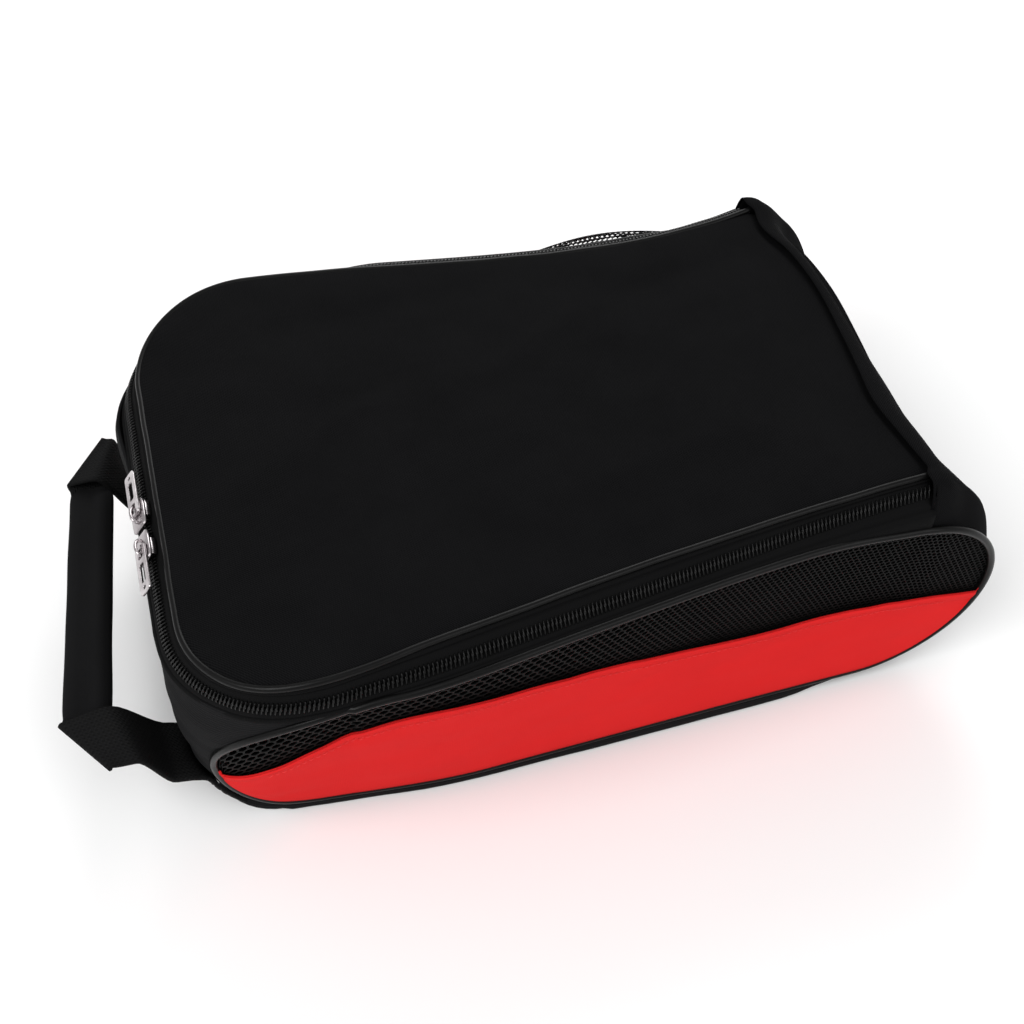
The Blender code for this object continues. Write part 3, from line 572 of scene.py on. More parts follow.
# ---- Zipper --------------------------------------------------------------------------------------------
def tape_rows(profile, inner, outer):
    """profile holds (share of the way from inner to outer, lift); inner and outer depend on q."""
    rows = []
    for q in stations(96, 44, 12, q_at_x(0.1580)):
        near_q = min(q, 2 - q)
        low, high = inner(near_q), outer(near_q)
        row = []
        for share, lift in profile:
            wander = 0.00025 * ripple(q * 4, share * 0.1, 0, 0.12)
            row.append(band_point(q, mix(low, high, share), lift + wander))
        rows.append(row)
    return rows


def make_tapes():
    """Each tape has a fold where it is sewn: beside the lid's piping and above the body's seam."""
    lid_profile = ((0.0, -0.0004), (0.11, 0.0), (0.20, 0.0005), (0.28, 0.0001), (0.35, -0.0008),
                   (0.42, -0.0001), (0.55, 0.0), (0.78, 0.0), (1.0, 0.0))
    rows = tape_rows(lid_profile, lambda q: 0.0008, lambda q: chain_o(q) - 0.0006)
    done_lid(grid("lid_tape", rows, TAPE_CLOTH, 0.0007, 0.0), "zipper_tape_lid")
    body_profile = ((0.0, 0.0), (0.25, 0.0), (0.45, 0.0001), (0.60, 0.0004), (0.70, -0.0007), (0.80, 0.0002),
                    (1.0, 0.0))

    def seam_edge(q):
        return mix(SEAM_O - 0.0008, SEAM_O + 0.0006, smooth_step((q - SIDE_SHARE - 0.02) / 0.1))

    rows = tape_rows(body_profile, lambda q: chain_o(q) + 0.0006, seam_edge)
    for q, row in zip(stations(96, 44, 12, q_at_x(0.1580)), rows):
        edge = row[-1]
        low = side_point(edge.x, oval_top(edge.x) + 0.0006)
        low.y *= -1 if q > 1 else 1
        reach = smooth_step((edge.x - 0.070) / 0.03)
        for share in (0.5, 1.0):        # near the toe the cloth reaches down to the side's piping
            row.append(edge.lerp(low, share * reach) - Vector((0, 0, 0.0004 * share)))
    done(grid("body_tape", rows, TAPE_CLOTH, 0.0007, 0.0), "bag_body", "black_cloth", "zipper_tape_body")


def make_coils():
    """Two rows of nylon turns, half a pitch apart, whose heads meet along the chain's middle."""
    samples = [mix(0.006, 1.994, i / 1600) for i in range(1601)]
    places = [band_point(q, chain_o(q)) for q in samples]
    length, lengths = 0.0, [0.0]
    for a, b in zip(places, places[1:]):
        length += (b - a).length
        lengths.append(length)
    slant = 0.00045 / length * 2

    def q_at(distance):
        low, high = 0, len(lengths) - 1
        while high - low > 1:
            middle = (low + high) // 2
            if lengths[middle] < distance:
                low = middle
            else:
                high = middle
        share = (distance - lengths[low]) / (lengths[high] - lengths[low])
        return mix(samples[low], samples[high], share)

    turns = ((-0.0027, 0.0003, 0.00030), (-0.0024, 0.0010, 0.00036), (-0.0017, 0.0013, 0.00036),
             (-0.0009, 0.0013, 0.00036), (-0.0002, 0.0013, 0.00050), (0.0005, 0.0010, 0.00050),
             (0.0008, 0.0005, 0.00034))
    for direction in (1, -1):
        pieces = []
        distance = 0.0004 if direction > 0 else 0.0004 + TOOTH_PITCH / 2
        while distance < length - 0.001:
            q = q_at(distance)
            lean = slant * direction / 0.003
            points = [band_point(q + lean * (o + 0.002), chain_o(q) + o * direction, lift)
                      for o, lift, _ in turns]
            pieces.append(tube_data(points, [r for _, _, r in turns], 6, up=Vector((0, 0, 1))))
            distance += TOOTH_PITCH
        if direction > 0:
            done_lid(many("lid_coil", pieces, NYLON), "zipper_coil_lid")
        else:
            done(many("body_coil", pieces, NYLON), "bag_body", "zipper_nylon", "zipper_coil_body")


def chain_frame(y):
    here, down_band, up = band_frame(1.0)
    middle = here + down_band * CHAIN_O
    place = Matrix((Vector((0, 1, 0)), down_band, up)).transposed().to_4x4()
    place.translation = Vector((middle.x, y, middle.z))
    return place


def extruded(outline, low, high):
    """A closed plate from an outline of (x, y) points."""
    count = len(outline)
    verts = [Vector((x, y, low)) for x, y in outline] + [Vector((x, y, high)) for x, y in outline]
    faces = [tuple(reversed(range(count))), tuple(range(count, 2 * count))]
    faces += [(i, (i + 1) % count, count + (i + 1) % count, count + i) for i in range(count)]
    return verts, faces


def bevelled(thing, width, segments=2):
    edge = thing.modifiers.new("edge", "BEVEL")
    edge.width, edge.segments, edge.limit_method = width, segments, "ANGLE"
    edge.angle_limit = math.radians(40)
    edge.harden_normals = False


def make_slider(side, word):
    """side -1 is the near slider.  Local X is along the chain, Y down the band, Z up."""
    front = side
    outline = []
    for x, y in ((-0.0080, 0.0038), (-0.0070, 0.0048), (-0.0030, 0.0052), (0.0030, 0.0053),
                 (0.0058, 0.0050), (0.0072, 0.0042), (0.0079, 0.0026), (0.0080, 0.0)):
        outline.append((x * front, y))
    outline += [(x, -y) for x, y in reversed(outline[:-1])]
    if front < 0:
        outline.reverse()
    flange = [p for p in outline if -0.0070 < p[0] * front < 0.0070]
    pieces = [extruded(outline, 0.0032, 0.0046), extruded(outline, -0.0021, -0.0007)]
    for y_side in (-1, 1):
        edge = [p for p in flange if p[1] * y_side > 0.001]
        inner = [(x, y - 0.0010 * y_side) for x, y in reversed(edge)]
        loop = edge + inner
        area = sum(a[0] * b[1] - b[0] * a[1] for a, b in zip(loop, loop[1:] + loop[:1]))
        pieces.append(extruded(loop if area > 0 else loop[::-1], 0.0009, 0.0034))
    pieces.append(extruded([(-0.0028, -0.0004), (0.0028, -0.0004), (0.0028, 0.0004), (-0.0028, 0.0004)],
                           -0.0010, 0.0034))
    body = many("slider_body_" + word, pieces, NICKEL_PAINTED_REFLECTIONS)
    arch = [Vector((-0.0044 * math.cos(a), 0, 0.0040 + 0.0038 * math.sin(a) ** 0.6))
            for a in (math.pi * i / 14 for i in range(15))]
    bail = many("slider_bail_" + word, [tube_data(arch, 0.00075, 10, flat=0.9, up=Vector((0, 1, 0)))], NICKEL_PAINTED_REFLECTIONS)
    for thing in (body, bail):
        thing.matrix_world = chain_frame(SLIDER_MIDDLE_Y + side * SLIDER_Y)
        done(thing, "slider_%s_body" % word, "nickel", "slider_" + word)
    bevelled(body, 0.0004)


def rounded_loop(low, high, half, rounding, steps=5):
    points = []
    for x, y, k in ((high - rounding, half - rounding, 0), (low + rounding, half - rounding, 1),
                    (low + rounding, rounding - half, 2), (high - rounding, rounding - half, 3)):
        points += [(x + rounding * math.cos((k + s / steps) * math.pi / 2),
                    y + rounding * math.sin((k + s / steps) * math.pi / 2)) for s in range(steps + 1)]
    return points


def make_puller(side, word):
    curve = bpy.data.curves.new("pull_outline", "CURVE")
    curve.dimensions, curve.fill_mode = "2D", "BOTH"
    curve.extrude, curve.bevel_depth, curve.bevel_resolution = 0.00038, 0.00022, 2
    for loop in (rounded_loop(-0.0004, 0.0238, 0.0037, 0.0014), rounded_loop(0.0006, 0.0062, 0.0019, 0.0009),
                 rounded_loop(0.0084, 0.0188, 0.0019, 0.0012), rounded_loop(0.0202, 0.0224, 0.0011, 0.0010)):
        spline = curve.splines.new("POLY")
        spline.points.add(len(loop) - 1)
        for spot, (x, y) in zip(spline.points, loop):
            spot.co = (x, y, 0, 1)
        spline.use_cyclic_u = True
    flat = bpy.data.objects.new("pull_outline", curve)
    bpy.context.scene.collection.objects.link(flat)
    graph = bpy.context.evaluated_depsgraph_get()
    mesh = bpy.data.meshes.new_from_object(flat.evaluated_get(graph))
    bpy.data.objects.remove(flat, do_unlink=True)
    shape = bmesh.new()
    shape.from_mesh(mesh)
    bmesh.ops.remove_doubles(shape, verts=shape.verts, dist=0.000005)
    shape.to_mesh(mesh)
    shape.free()
    mesh.materials.clear()
    mesh.materials.append(NICKEL_PAINTED_REFLECTIONS)
    tab = bpy.data.objects.new("pull_tab_" + word, mesh)
    bpy.context.scene.collection.objects.link(tab)
    turn = Matrix.Rotation(math.pi if side < 0 else 0.0, 4, "Z")
    lifted = Matrix.Translation((0, 0, 0.0056))
    tab.matrix_world = chain_frame(SLIDER_MIDDLE_Y + side * SLIDER_Y) @ lifted @ turn
    done(tab, "puller_%s_body" % word, "nickel", "puller_" + word)


# ---- Body panels ---------------------------------------------------------------------------------------
OVAL_EDGE = 0.0012          # cloth panels run this near to the middle of the piping


def end_panel_start(share):
    rises = (seam_height(OVAL_LEFT_X) - OVAL_MIDDLE_Z, OVAL_MIDDLE_Z - OVAL_LOW_Z)
    outside, inside = OVAL_TIP_X - OVAL_EDGE, OVAL_LEFT_X
    if share * seam_height(OVAL_LOW_X) < OVAL_MIDDLE_Z:
        inside = OVAL_LOW_X
    for _ in range(24):
        x = (outside + inside) / 2
        z = share * seam_height(x)
        if z > OVAL_MIDDLE_Z:
            margin = math.hypot((OVAL_LEFT_X - x) / (OVAL_LEFT_REACH + OVAL_EDGE),
                                (z - OVAL_MIDDLE_Z) / (rises[0] + OVAL_EDGE))
        else:
            margin = math.hypot((OVAL_LOW_X - x) / (OVAL_LOW_REACH + OVAL_EDGE),
                                (z - OVAL_MIDDLE_Z) / (rises[1] + OVAL_EDGE))
        if margin > 1:
            outside = x
        else:
            inside = x
    return outside


def end_panel_row(share):
    """A line round the handle end at one height, evenly spaced from the far oval to the near one."""
    end, corner = wall_end(share)
    start = end_panel_start(share)
    raw = [Vector((end, -wall_outline(end, share) * i / 10, 0)) for i in range(10)]
    turn_x = end + corner
    last = math.pi / 2 if start > turn_x else math.acos(min(max((turn_x - start) / corner, -1.0), 1.0))
    for i in range(41):
        x = turn_x - corner * math.cos(last * i / 40)
        raw.append(Vector((x, -wall_outline(x, share), 0)))
    if start > turn_x:
        xs = [mix(turn_x, start, i / 8) for i in range(1, 9)]
        raw += [Vector((x, -wall_outline(x, share), 0)) for x in xs]
    lengths = [0.0]
    for a, b in zip(raw, raw[1:]):
        lengths.append(lengths[-1] + (b - a).length)
    near, j = [], 0
    for i in range(61):
        want = lengths[-1] * i / 60
        while j < len(raw) - 2 and lengths[j + 1] < want:
            j += 1
        gap = lengths[j + 1] - lengths[j]
        near.append(raw[j].lerp(raw[j + 1], (want - lengths[j]) / gap if gap else 0.0))
    for point in near:
        point.z = share * seam_height(point.x)
    return [Vector((p.x, -p.y, p.z)) for p in reversed(near[1:])] + near


def make_handle_end():
    rows = []
    for i in range(49):
        share = mix(0.020, 1.0, i / 48)
        row = []
        for point in end_panel_row(share):
            away = Vector((point.x + 0.10, point.y * 0.55, 0)).normalized()
            slack = 0.0016 * ripple(point.x, point.y * 0.8, point.z * 2.2, 0.040, 3.3)
            slack += 0.0008 * ripple(point.x, point.y * 0.5, point.z * 3.0, 0.016, 5.9)
            slack *= smooth_step(share / 0.12) * smooth_step((1 - share) / 0.12)
            far = math.exp(-((point.y - 0.062) / 0.026) ** 2 - ((point.z - 0.100) / 0.018) ** 2)
            slack += 0.0052 * far * smooth_step((-0.115 - point.x) / 0.02)
            row.append(point + away * slack)
        rows.append(row)
    panel = grid("handle_end_skin", rows, WALL_CLOTH, 0.0014)
    done(panel, "bag_body", "black_cloth", "handle_end_panel")


def toe_point(share, across):
    half = -side_point(TOE_CENTRE_X, OVAL_TOE_Z).y
    side = smooth_step((abs(across) * half - TOE_SIDE_Y) / TOE_SIDE_RUN)
    shoulder = smooth_step((abs(across) * half - TOE_SHOULDER_Y) / TOE_SHOULDER)
    power = mix(TOE_MIDDLE_POWER, 2.0, side)
    reach = mix(TOE_MIDDLE_REACH, TOE_REACH, side)
    last = math.acos(((TOE_SEAM_X + 0.0009 - TOE_CENTRE_X) / reach) ** (power / 2))
    turn = mix(-math.pi / 2, last, share)
    if turn < 0:
        power = 2.0
    middle = mix(TOE_HALF_HEIGHT, OVAL_TOE_Z, shoulder)
    rise = mix(TOE_HALF_HEIGHT, OVAL_TOE_HALF, shoulder)
    x = TOE_CENTRE_X + reach * max(math.cos(turn), 0.0) ** (2 / power)
    z = middle + rise * math.copysign(abs(math.sin(turn)) ** (2 / power), turn)
    y = across * (-side_point(x, min(z, OVAL_TOE_Z + OVAL_TOE_HALF)).y - OVAL_EDGE)
    return Vector((x, y, z))


def make_toe_end():
    """The toe panel, whose folded wavy edge lies over the lid's end and the zipper's ends."""
    acrosses = [math.sin(k / 56 * math.pi / 2) for k in range(-56, 57)]
    lid_top = rim_near(0.0).z + 0.0022
    lid_half = -rim_near(0.0).y
    rows = [[toe_point(0.86 * i / 44, a) for a in acrosses] for i in range(45)]
    tops = []
    for a in acrosses:
        corner = toe_point(1.0, math.copysign(1.0, a or 1.0))
        y = a * abs(corner.y)
        past = smooth_step((abs(y) - lid_half - 0.006) / (abs(corner.y) - lid_half - 0.006))
        seam_x = toe_seam_x(max(min(y / lid_half, 1.0), -1.0))
        edge = smooth_step((abs(y) - lid_half + 0.004) / 0.006)
        top = Vector((seam_x - 0.0035 * edge, y, lid_top + 0.0014 * edge))
        tops.append(top.lerp(corner + Vector((-0.0055, 0, 0.0012)), past))
    for i in range(1, 15):
        t = i / 14
        row = []
        for j, top in enumerate(tops):
            foot, below = rows[44][j], rows[43][j]
            reach = (top - foot).length * 0.42
            low, high = foot + (foot - below).normalized() * reach, top + Vector((reach, 0, -0.0006))
            row.append(foot * (1 - t) ** 3 + low * 3 * t * (1 - t) ** 2
                       + high * 3 * t * t * (1 - t) + top * t ** 3)
        rows.append(row)
    for i, row in enumerate(rows):
        for point in row:
            inside = smooth_step((0.104 - abs(point.y)) / 0.02)
            inside *= smooth_step(i / 6) * smooth_step((58 - i) / 9)
            sag = 0.0009 * ripple(point.x * 0.7, point.y * 1.6, point.z, 0.038, 7.7)
            point.x += (sag + 0.0003 * ripple(point.x, point.y, point.z, 0.012, 1.1)) * inside
    lip = [Vector((p.x + 0.0010, p.y, p.z - 0.0014)) for p in rows[-1]]
    rows.append(lip)
    panel = grid("toe_end_skin", rows, BLACK_CLOTH, 0.0012)
    done(panel, "bag_body", "black_cloth", "toe_end_panel")


def make_base():
    """The stiffened back panel in its cloth, with a soft rolled edge."""
    outline = [(BASE_TOE_X, -BASE_HALF_WIDTH)]
    xs = [mix(0.13, BASE_HANDLE_X + BASE_CORNER, i / 30) for i in range(31)]
    outline += [(x, -base_half(x)) for x in xs]
    middle_y = base_half(BASE_HANDLE_X) - BASE_CORNER
    outline += [(BASE_HANDLE_X + BASE_CORNER * (1 - math.sin(a)), -middle_y - BASE_CORNER * math.cos(a))
                for a in (math.pi / 2 * i / 12 for i in range(1, 13))]
    near = outline + [(BASE_HANDLE_X, -middle_y * (1 - i / 8)) for i in range(1, 8)]
    loop = near + [(BASE_HANDLE_X, 0.0)] + [(x, -y) for x, y in reversed(near)]
    rows = []
    for inset, z in ((0.0060, 0.0), (0.0004, 0.0), (-0.0014, 0.0003), (-0.0026, 0.0014), (-0.0030, 0.0030),
                     (-0.0026, 0.0046), (-0.0012, 0.0060), (0.0012, 0.0064), (0.0030, 0.0056),
                     (0.0060, 0.0044)):
        row = []
        for i, (x, y) in enumerate(loop):
            before, after = Vector(loop[max(i - 1, 0)]), Vector(loop[min(i + 1, len(loop) - 1)])
            along = (after - before).normalized()
            inward = Vector((-along.y, along.x)) * -1
            wave = 0.0005 * ripple(x, y, z, 0.03, 6.2) * (1.0 if 0.0004 < z < 0.0055 else 0.0)
            if z < 0.0061:              # towards the toe the edge draws in under the side's piping
                wave += 0.0045 * smooth_step((x - 0.112) / 0.036)
            row.append(Vector((x + inward.x * (inset + wave), y + inward.y * (inset + wave), z)))
        rows.append(row)
    base = grid("base_skin", rows, WALL_CLOTH)
    shape = bmesh.new()
    shape.from_mesh(base.data)
    shape.verts.ensure_lookup_table()
    wide = len(loop)
    last = (len(rows) - 1) * wide
    shape.faces.new([shape.verts[i] for i in range(wide)])
    shape.faces.new([shape.verts[last + i] for i in reversed(range(wide))])
    for r in range(len(rows) - 1):
        shape.faces.new([shape.verts[r * wide], shape.verts[(r + 1) * wide],
                         shape.verts[(r + 2) * wide - 1], shape.verts[(r + 1) * wide - 1]])
    bmesh.ops.recalc_face_normals(shape, faces=shape.faces)
    shape.to_mesh(base.data)
    shape.free()
    base.data.shade_smooth()
    done(base, "bag_body", "black_cloth", "back_panel")


# ---- Side panels ---------------------------------------------------------------------------------------
def red_top(x, side):
    waver = 0.0009 * ripple(x, 0, 0, 0.045, 8.0 + side) + 0.0004 * ripple(x, 0, 0, 0.012, 3.0 + side)
    return through(RED_EDGE, x) + waver


def red_slack(x, z, side):
    loose = smooth_step((z - OVAL_LOW_Z) / 0.02)
    slack = 0.0012 * ripple(x, 0, z * 2.4, 0.050, 2.0 + side)
    slack += 0.0004 * ripple(x, 0, z * 1.8, 0.017, 6.0 + side)
    return slack * loose


def make_side(side, word):
    count, steps = 96, 22
    outline = oval_outline(count, 0.0010)
    columns, hem = [], []
    for i in range(1, count):
        low_x, low_z = outline[i]
        top_x, top_z = outline[2 * count - i]
        top_z = min(top_z, max(red_top(top_x, side), low_z + 0.002))
        column = []
        for k in range(steps + 1):
            x, z = mix(low_x, top_x, k / steps), mix(low_z, top_z, k / steps)
            column.append(side_point(x, z, -0.0003 - red_slack(x, z, side) * smooth_step(4 * k / steps)))
        columns.append(sided(column, side))
        if top_z - low_z > 0.006:
            strip = []
            for down, out in ((0.0, 0.0009), (-0.0006, 0.0013), (0.0010, 0.0016), (0.0052, 0.0013),
                              (0.0062, 0.0009)):
                z = top_z - down
                strip.append(side_point(top_x, z, -0.0003 - red_slack(top_x, z, side) - out))
            hem.append(sided(strip, side))
    if side < 0:
        columns.reverse()
        hem.reverse()
    red = grid("red_skin_" + word, columns, RED_CLOTH, 0.0008)
    done(red, "bag_body", "red_cloth", "side_red_panel_" + word)
    done(grid("red_hem_" + word, hem, RED_CLOTH, 0.0005), "bag_body", "red_cloth")

    stitches = []
    x = -0.138
    while x < 0.185:
        ends = []
        for reach in (-0.0011, -0.0004, 0.0004, 0.0011):
            z = red_top(x + reach, side) - 0.0042
            lift = 0.0006 if abs(reach) < 0.0006 else 0.0001
            ends.append(side_point(x + reach, z, -0.0018 - red_slack(x + reach, z, side) - lift))
        stitches.append(tube_data(sided(ends, side), [0.00010, 0.00017, 0.00017, 0.00010], 5))
        x += 0.0030
    done(many("red_stitches_" + word, stitches, RED_THREAD), "bag_body", "red_cloth")

    points = []
    for i, (x, z) in enumerate(oval_outline(150)):
        points.append(side_point(x, z, 0.0002 * ripple(x, 0, z, 0.05, 5.0)))
    piping = cord("side_piping_cord_" + word, sided(points, side), PIPING_R, PVC, 14, closed=True)
    done(piping, "bag_body", "black_pvc", "side_piping_" + word)
    make_net(side, word)


def net_bulge(x, z, side):
    """The far side's slack net stands out in one long pucker under its upper edge."""
    if side > 0:
        return 0.0
    along, down = (x - NET_PUCKER_X) / NET_PUCKER_HALF, (oval_top(x) - z) / NET_PUCKER_DEEP
    if abs(along) >= 1 or not 0 < down < 1:
        return 0.0
    return NET_PUCKER_OUT * math.cos(along * math.pi / 2) * math.sin(math.sqrt(down) * math.pi)


def net_pitch(x):
    return mix(0.0044, 0.0027, smooth_step((x + 0.05) / 0.13))


def make_net(side, word):
    """The open knitted net: hexagonal holes, larger to the handle end, as one thin sheet."""
    xs = [OVAL_TIP_X + 0.001]
    while xs[-1] < OVAL_TOE_X:
        xs.append(xs[-1] + net_pitch(xs[-1]) / 4)

    def place(a, b):
        spot = min(max(a * 4, 0.0), len(xs) - 2.001)
        i = int(spot)
        x = mix(xs[i], xs[i + 1], spot - i)
        z = oval_top(min(x, 0.170)) + 0.0010 - b * net_pitch(x)
        clear_x = min(max(x, OVAL_TIP_X + 0.002), OVAL_TOE_X - 0.0015)
        low = max(through(RED_EDGE, clear_x) - 0.006, oval_low(clear_x) + 0.0005)
        return clear_x, min(max(z, low), oval_top(clear_x) - 0.0004)

    corners, verts, faces = {}, [], []

    def vertex(point):
        inside = 0.0010 + 0.0006 * ripple(point[0], 0, point[1], 0.05, 4.4)
        verts.append(side_point(point[0], point[1], inside - net_bulge(point[0], point[1], side)))
        return len(verts) - 1

    for row in range(0, 46):
        for column in range(0, int(len(xs) / 4)):
            mid = (column + 0.5 * (row % 2), row * 0.866)
            ring = [(mid[0] + 0.5774 * math.sin(k * math.pi / 3), mid[1] + 0.5774 * math.cos(k * math.pi / 3))
                    for k in range(6)]
            flat = [place(*p) for p in ring]
            area = sum(p[0] * q[1] - q[0] * p[1] for p, q in zip(flat, flat[1:] + flat[:1])) / 2
            whole = 0.866 * net_pitch(flat[0][0]) ** 2
            if abs(area) < 0.30 * whole:
                continue
            centre = (sum(p[0] for p in flat) / 6, sum(p[1] for p in flat) / 6)
            outer = []
            for p, f in zip(ring, flat):
                key = (round(p[0] * 200), round(p[1] * 200))
                if key not in corners:
                    corners[key] = vertex(f)
                outer.append(corners[key])
            inner = []
            for k in range(6):
                p, q = flat[k], flat[(k + 1) % 6]
                for share, spot in ((0.77, p), (0.79, ((p[0] + q[0]) / 2, (p[1] + q[1]) / 2))):
                    inner.append(vertex((mix(centre[0], spot[0], share), mix(centre[1], spot[1], share))))
            for k in range(6):
                n = (k + 1) % 6
                faces.append((outer[k], outer[n], inner[2 * n], inner[2 * k + 1], inner[2 * k]))
    net = new_object("side_net_" + word, sided(verts, side), faces, NET)
    solid = net.modifiers.new("thickness", "SOLIDIFY")
    solid.thickness, solid.offset = 0.0005, 0.0
    done(net, "bag_body", "black_mesh", "side_mesh_" + word)


# ---- Handle --------------------------------------------------------------------------------------------
def ribbon_line(side, k):
    """One thread line of the webbing: up the wall, out to the diagonal fold, and back along the grip."""
    fold = GRIP_NEAR if side < 0 else GRIP_FAR
    root = Vector((HANDLE_ROOT.x, side * (HANDLE_ROOT.y + k * WEBBING_WIDTH), HANDLE_ROOT.z))
    tip = Vector((fold.x + k * GRIP_WIDTH, fold.y + side * (k + 0.5) * FOLD_RUN, fold.z + 0.0066))
    line = []
    for i in range(9):
        z = mix(0.013, HANDLE_ROOT.z - 0.004, i / 8)
        line.append(Vector((wall_x(abs(root.y), z / seam_height(-LID_HALF)) - 0.0022, root.y, z)))
    wall_top = line[-1]
    for i in range(1, 5):
        t = i / 4
        bend = Vector((wall_top.x - 0.0004, root.y, HANDLE_ROOT.z + 0.001))
        out = Vector((root.x - 0.004, root.y, HANDLE_ROOT.z + 0.0035))
        line.append(wall_top * (1 - t) ** 2 + bend * 2 * t * (1 - t) + out * t * t)
    start = line[-1]
    for i in range(1, 15):
        t = i / 14
        point = start.lerp(tip, t)
        point.z = mix(start.z, tip.z, smooth_step(t / 0.55))
        point.z += -0.0035 * k * math.sin(math.pi * t) + 0.0012 * math.sin(math.pi * t) ** 2
        point.z += 0.0006 * ripple(point.x, point.y, 0, 0.02, 3.0) * math.sin(math.pi * t)
        line.append(point)
    grip_dir = (GRIP_FAR - GRIP_NEAR).normalized() * (1 if side < 0 else -1)
    outward = (tip - start).normalized()
    outward = Vector((outward.x, outward.y, 0)).normalized()
    for i in range(1, 6):
        a = math.pi * i / 6
        corner = (outward - grip_dir).normalized() * 0.0014 * math.sin(a)
        line.append(tip + corner + grip_dir * 0.0008 * (1 - math.cos(a))
                    + Vector((0, 0, -0.0033 * (1 - math.cos(a)) / 2)))
    low_start = line[-1]
    mouth = Vector((fold.x, fold.y, fold.z)) + grip_dir * 0.010
    across = Vector((-grip_dir.y, grip_dir.x, 0)) * (-1 if side < 0 else 1)
    mouth = mouth + across * k * GRIP_WIDTH * 0.86
    mouth = Vector((mouth.x, mouth.y, fold.z))
    for i in range(1, 9):
        t = i / 8
        point = low_start.lerp(mouth, t)
        point.z = mix(low_start.z, fold.z, smooth_step(t))
        line.append(point)
    return line


def make_handle():
    for side, word in ((-1, "near"), (1, "far")):
        lines = [ribbon_line(side, -0.5 + i / 12) for i in range(13)]
        if side > 0:
            lines.reverse()
        strap = grid("webbing_" + word, lines, WEBBING, 0.0017, 0.0)
        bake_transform(strap)
        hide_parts("handle_anchor_" + word, "handle_leg_" + word)
        stitches = []
        y0, z0, z1 = HANDLE_ROOT.y, 0.0165, 0.0345
        corners = [(y0 - 0.0115, z0), (y0 + 0.0115, z0), (y0 + 0.0115, z1), (y0 - 0.0115, z1)]
        runs = list(zip(corners, corners[1:] + corners[:1]))
        runs += [(corners[0], corners[2]), (corners[1], corners[3])]
        for (ya, za), (yb, zb) in runs:
            count = int(math.hypot(yb - ya, zb - za) / 0.0028)
            for i in range(count):
                points = []
                for part in (0.12, 0.36, 0.64, 0.88):
                    t = (i + part) / count
                    y, z = mix(ya, yb, t), mix(za, zb, t)
                    x = wall_x(y, z / seam_height(-LID_HALF)) - 0.0031
                    points.append(Vector((x - (0.0002 if 0.2 < part < 0.8 else -0.0003), side * y, z)))
                stitches.append(tube_data(points, 0.00028, 5))
        done(many("anchor_stitches_" + word, stitches, THREAD), "bag_body", "webbing")

    run = GRIP_FAR - GRIP_NEAR
    along = run.normalized()
    across = Vector((along.y, -along.x, 0))
    profile = []
    for i in range(40):
        a = 2 * math.pi * i / 40
        profile.append((GRIP_WIDTH / 2 * math.copysign(abs(math.cos(a)) ** 0.45, math.cos(a)),
                        0.0030 * math.copysign(abs(math.sin(a)) ** 0.75, math.sin(a))))
    rows = []
    for i in range(61):
        t = i / 60
        middle = GRIP_NEAR + run * mix(0.012, 0.988, t)
        ends = smooth_step(min(t, 1 - t) / 0.05)
        row = []
        for w, h in profile:
            wide = w * (0.96 + 0.04 * ends) + 0.0005 * ripple(0, t * 0.132, w, 0.03, 2.0)
            tall = h * (0.86 + 0.14 * ends)
            if h > 0:
                step = 0.0010 * smooth_step((w - 0.0008) / 0.0010) * ends
                groove = 0.0013 * math.exp(-((w - 0.0005) / 0.0011) ** 2)
                tall += step * (1 - smooth_step((w - 0.006) / 0.003)) - groove
                tall += 0.0007 * ripple(w * 3, t * 0.132, 0, 0.028, 8.0) * ends
            row.append(middle + across * wide + Vector((0, 0, tall)))
        rows.append(row)
    sleeve = grid("grip_sleeve_skin", rows, SLEEVE_CLOTH, 0.0009, closed=True)
    done(sleeve, "handle", "black_cloth", "handle_grip_sleeve", "handle_core")


# ---- The object ----------------------------------------------------------------------------------------
make_lid()
make_tapes()
make_coils()
for side, word in ((-1, "near"), (1, "far")):
    make_slider(side, word)
    make_puller(side, word)
make_handle_end()
make_toe_end()
make_base()
for side, word in ((1, "near"), (-1, "far")):
    make_side(side, word)
make_handle()
for node in ("seam_binding_near", "seam_binding_far", "lid_binding"):
    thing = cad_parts[node]
    thing.data.materials.clear()
    thing.data.materials.append(TAPE_CLOTH)
    thing.data.shade_smooth()


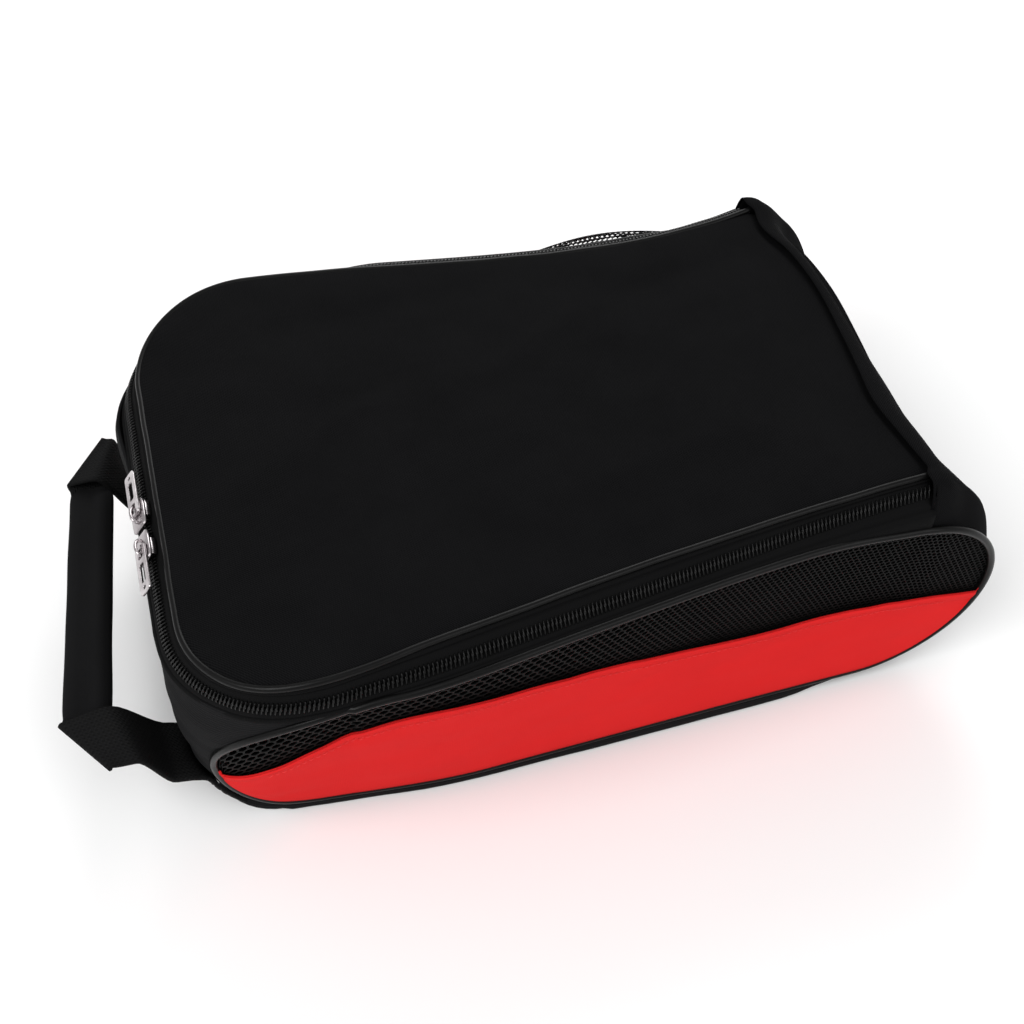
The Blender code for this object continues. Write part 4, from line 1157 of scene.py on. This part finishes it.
# ---- Studio --------------------------------------------------------------------------------------------
def plain_stage_material(name, colour):
    material, _, _ = new_material(name, colour, 0.9, 0.0, 0.1)
    return material


floor = new_object("studio_floor", [(-6, -6, 0), (6, -6, 0), (6, 6, 0), (-6, 6, 0)], [(0, 1, 2, 3)],
                   plain_stage_material("pale_floor", (0.86, 0.86, 0.86)), False)

world = bpy.data.worlds.new("studio")
world.use_nodes = True
world.node_tree.nodes["Background"].inputs["Color"].default_value = (1.0, 1.0, 1.0, 1.0)
world.node_tree.nodes["Background"].inputs["Strength"].default_value = 0.60
bpy.context.scene.world = world
bpy.context.scene.view_settings.view_transform = "Standard"


def area_light(name, place, target, size, power):
    light = bpy.data.lights.new(name, "AREA")
    light.shape, light.size, light.energy = "SQUARE", size, power
    thing = bpy.data.objects.new(name, light)
    bpy.context.scene.collection.objects.link(thing)
    thing.location = place
    thing.rotation_euler = (Vector(target) - Vector(place)).to_track_quat("-Z", "Y").to_euler()


area_light("key", (-1.1, -0.5, 1.5), (0, 0, 0.08), 1.0, 22.0)
area_light("fill", (0.9, -1.2, 1.1), (0, 0, 0.05), 1.2, 9.0)
area_light("back", (0.4, 1.3, 1.2), (0, 0, 0.10), 1.0, 12.0)


def make_camera(azimuth, elevation, roll, distance, target, lens):
    back = Vector((math.sin(azimuth) * math.cos(elevation), -math.cos(azimuth) * math.cos(elevation),
                   math.sin(elevation)))
    right = (-back).cross(Vector((0, 0, 1))).normalized()
    up = right.cross(-back)
    turned_right = right * math.cos(roll) + up * math.sin(roll)
    turned_up = up * math.cos(roll) - right * math.sin(roll)
    data = bpy.data.cameras.new("camera")
    data.lens, data.sensor_width = lens, 36.0
    camera = bpy.data.objects.new("camera", data)
    bpy.context.scene.collection.objects.link(camera)
    matrix = Matrix((turned_right, turned_up, back)).transposed().to_4x4()
    matrix.translation = Vector(target) + back * distance
    camera.matrix_world = matrix
    bpy.context.scene.camera = camera


make_camera(math.radians(-17.98), math.radians(50.44), math.radians(1.62), 0.8778,
            (0.0499, 0.1467, -0.1261), 44.82)
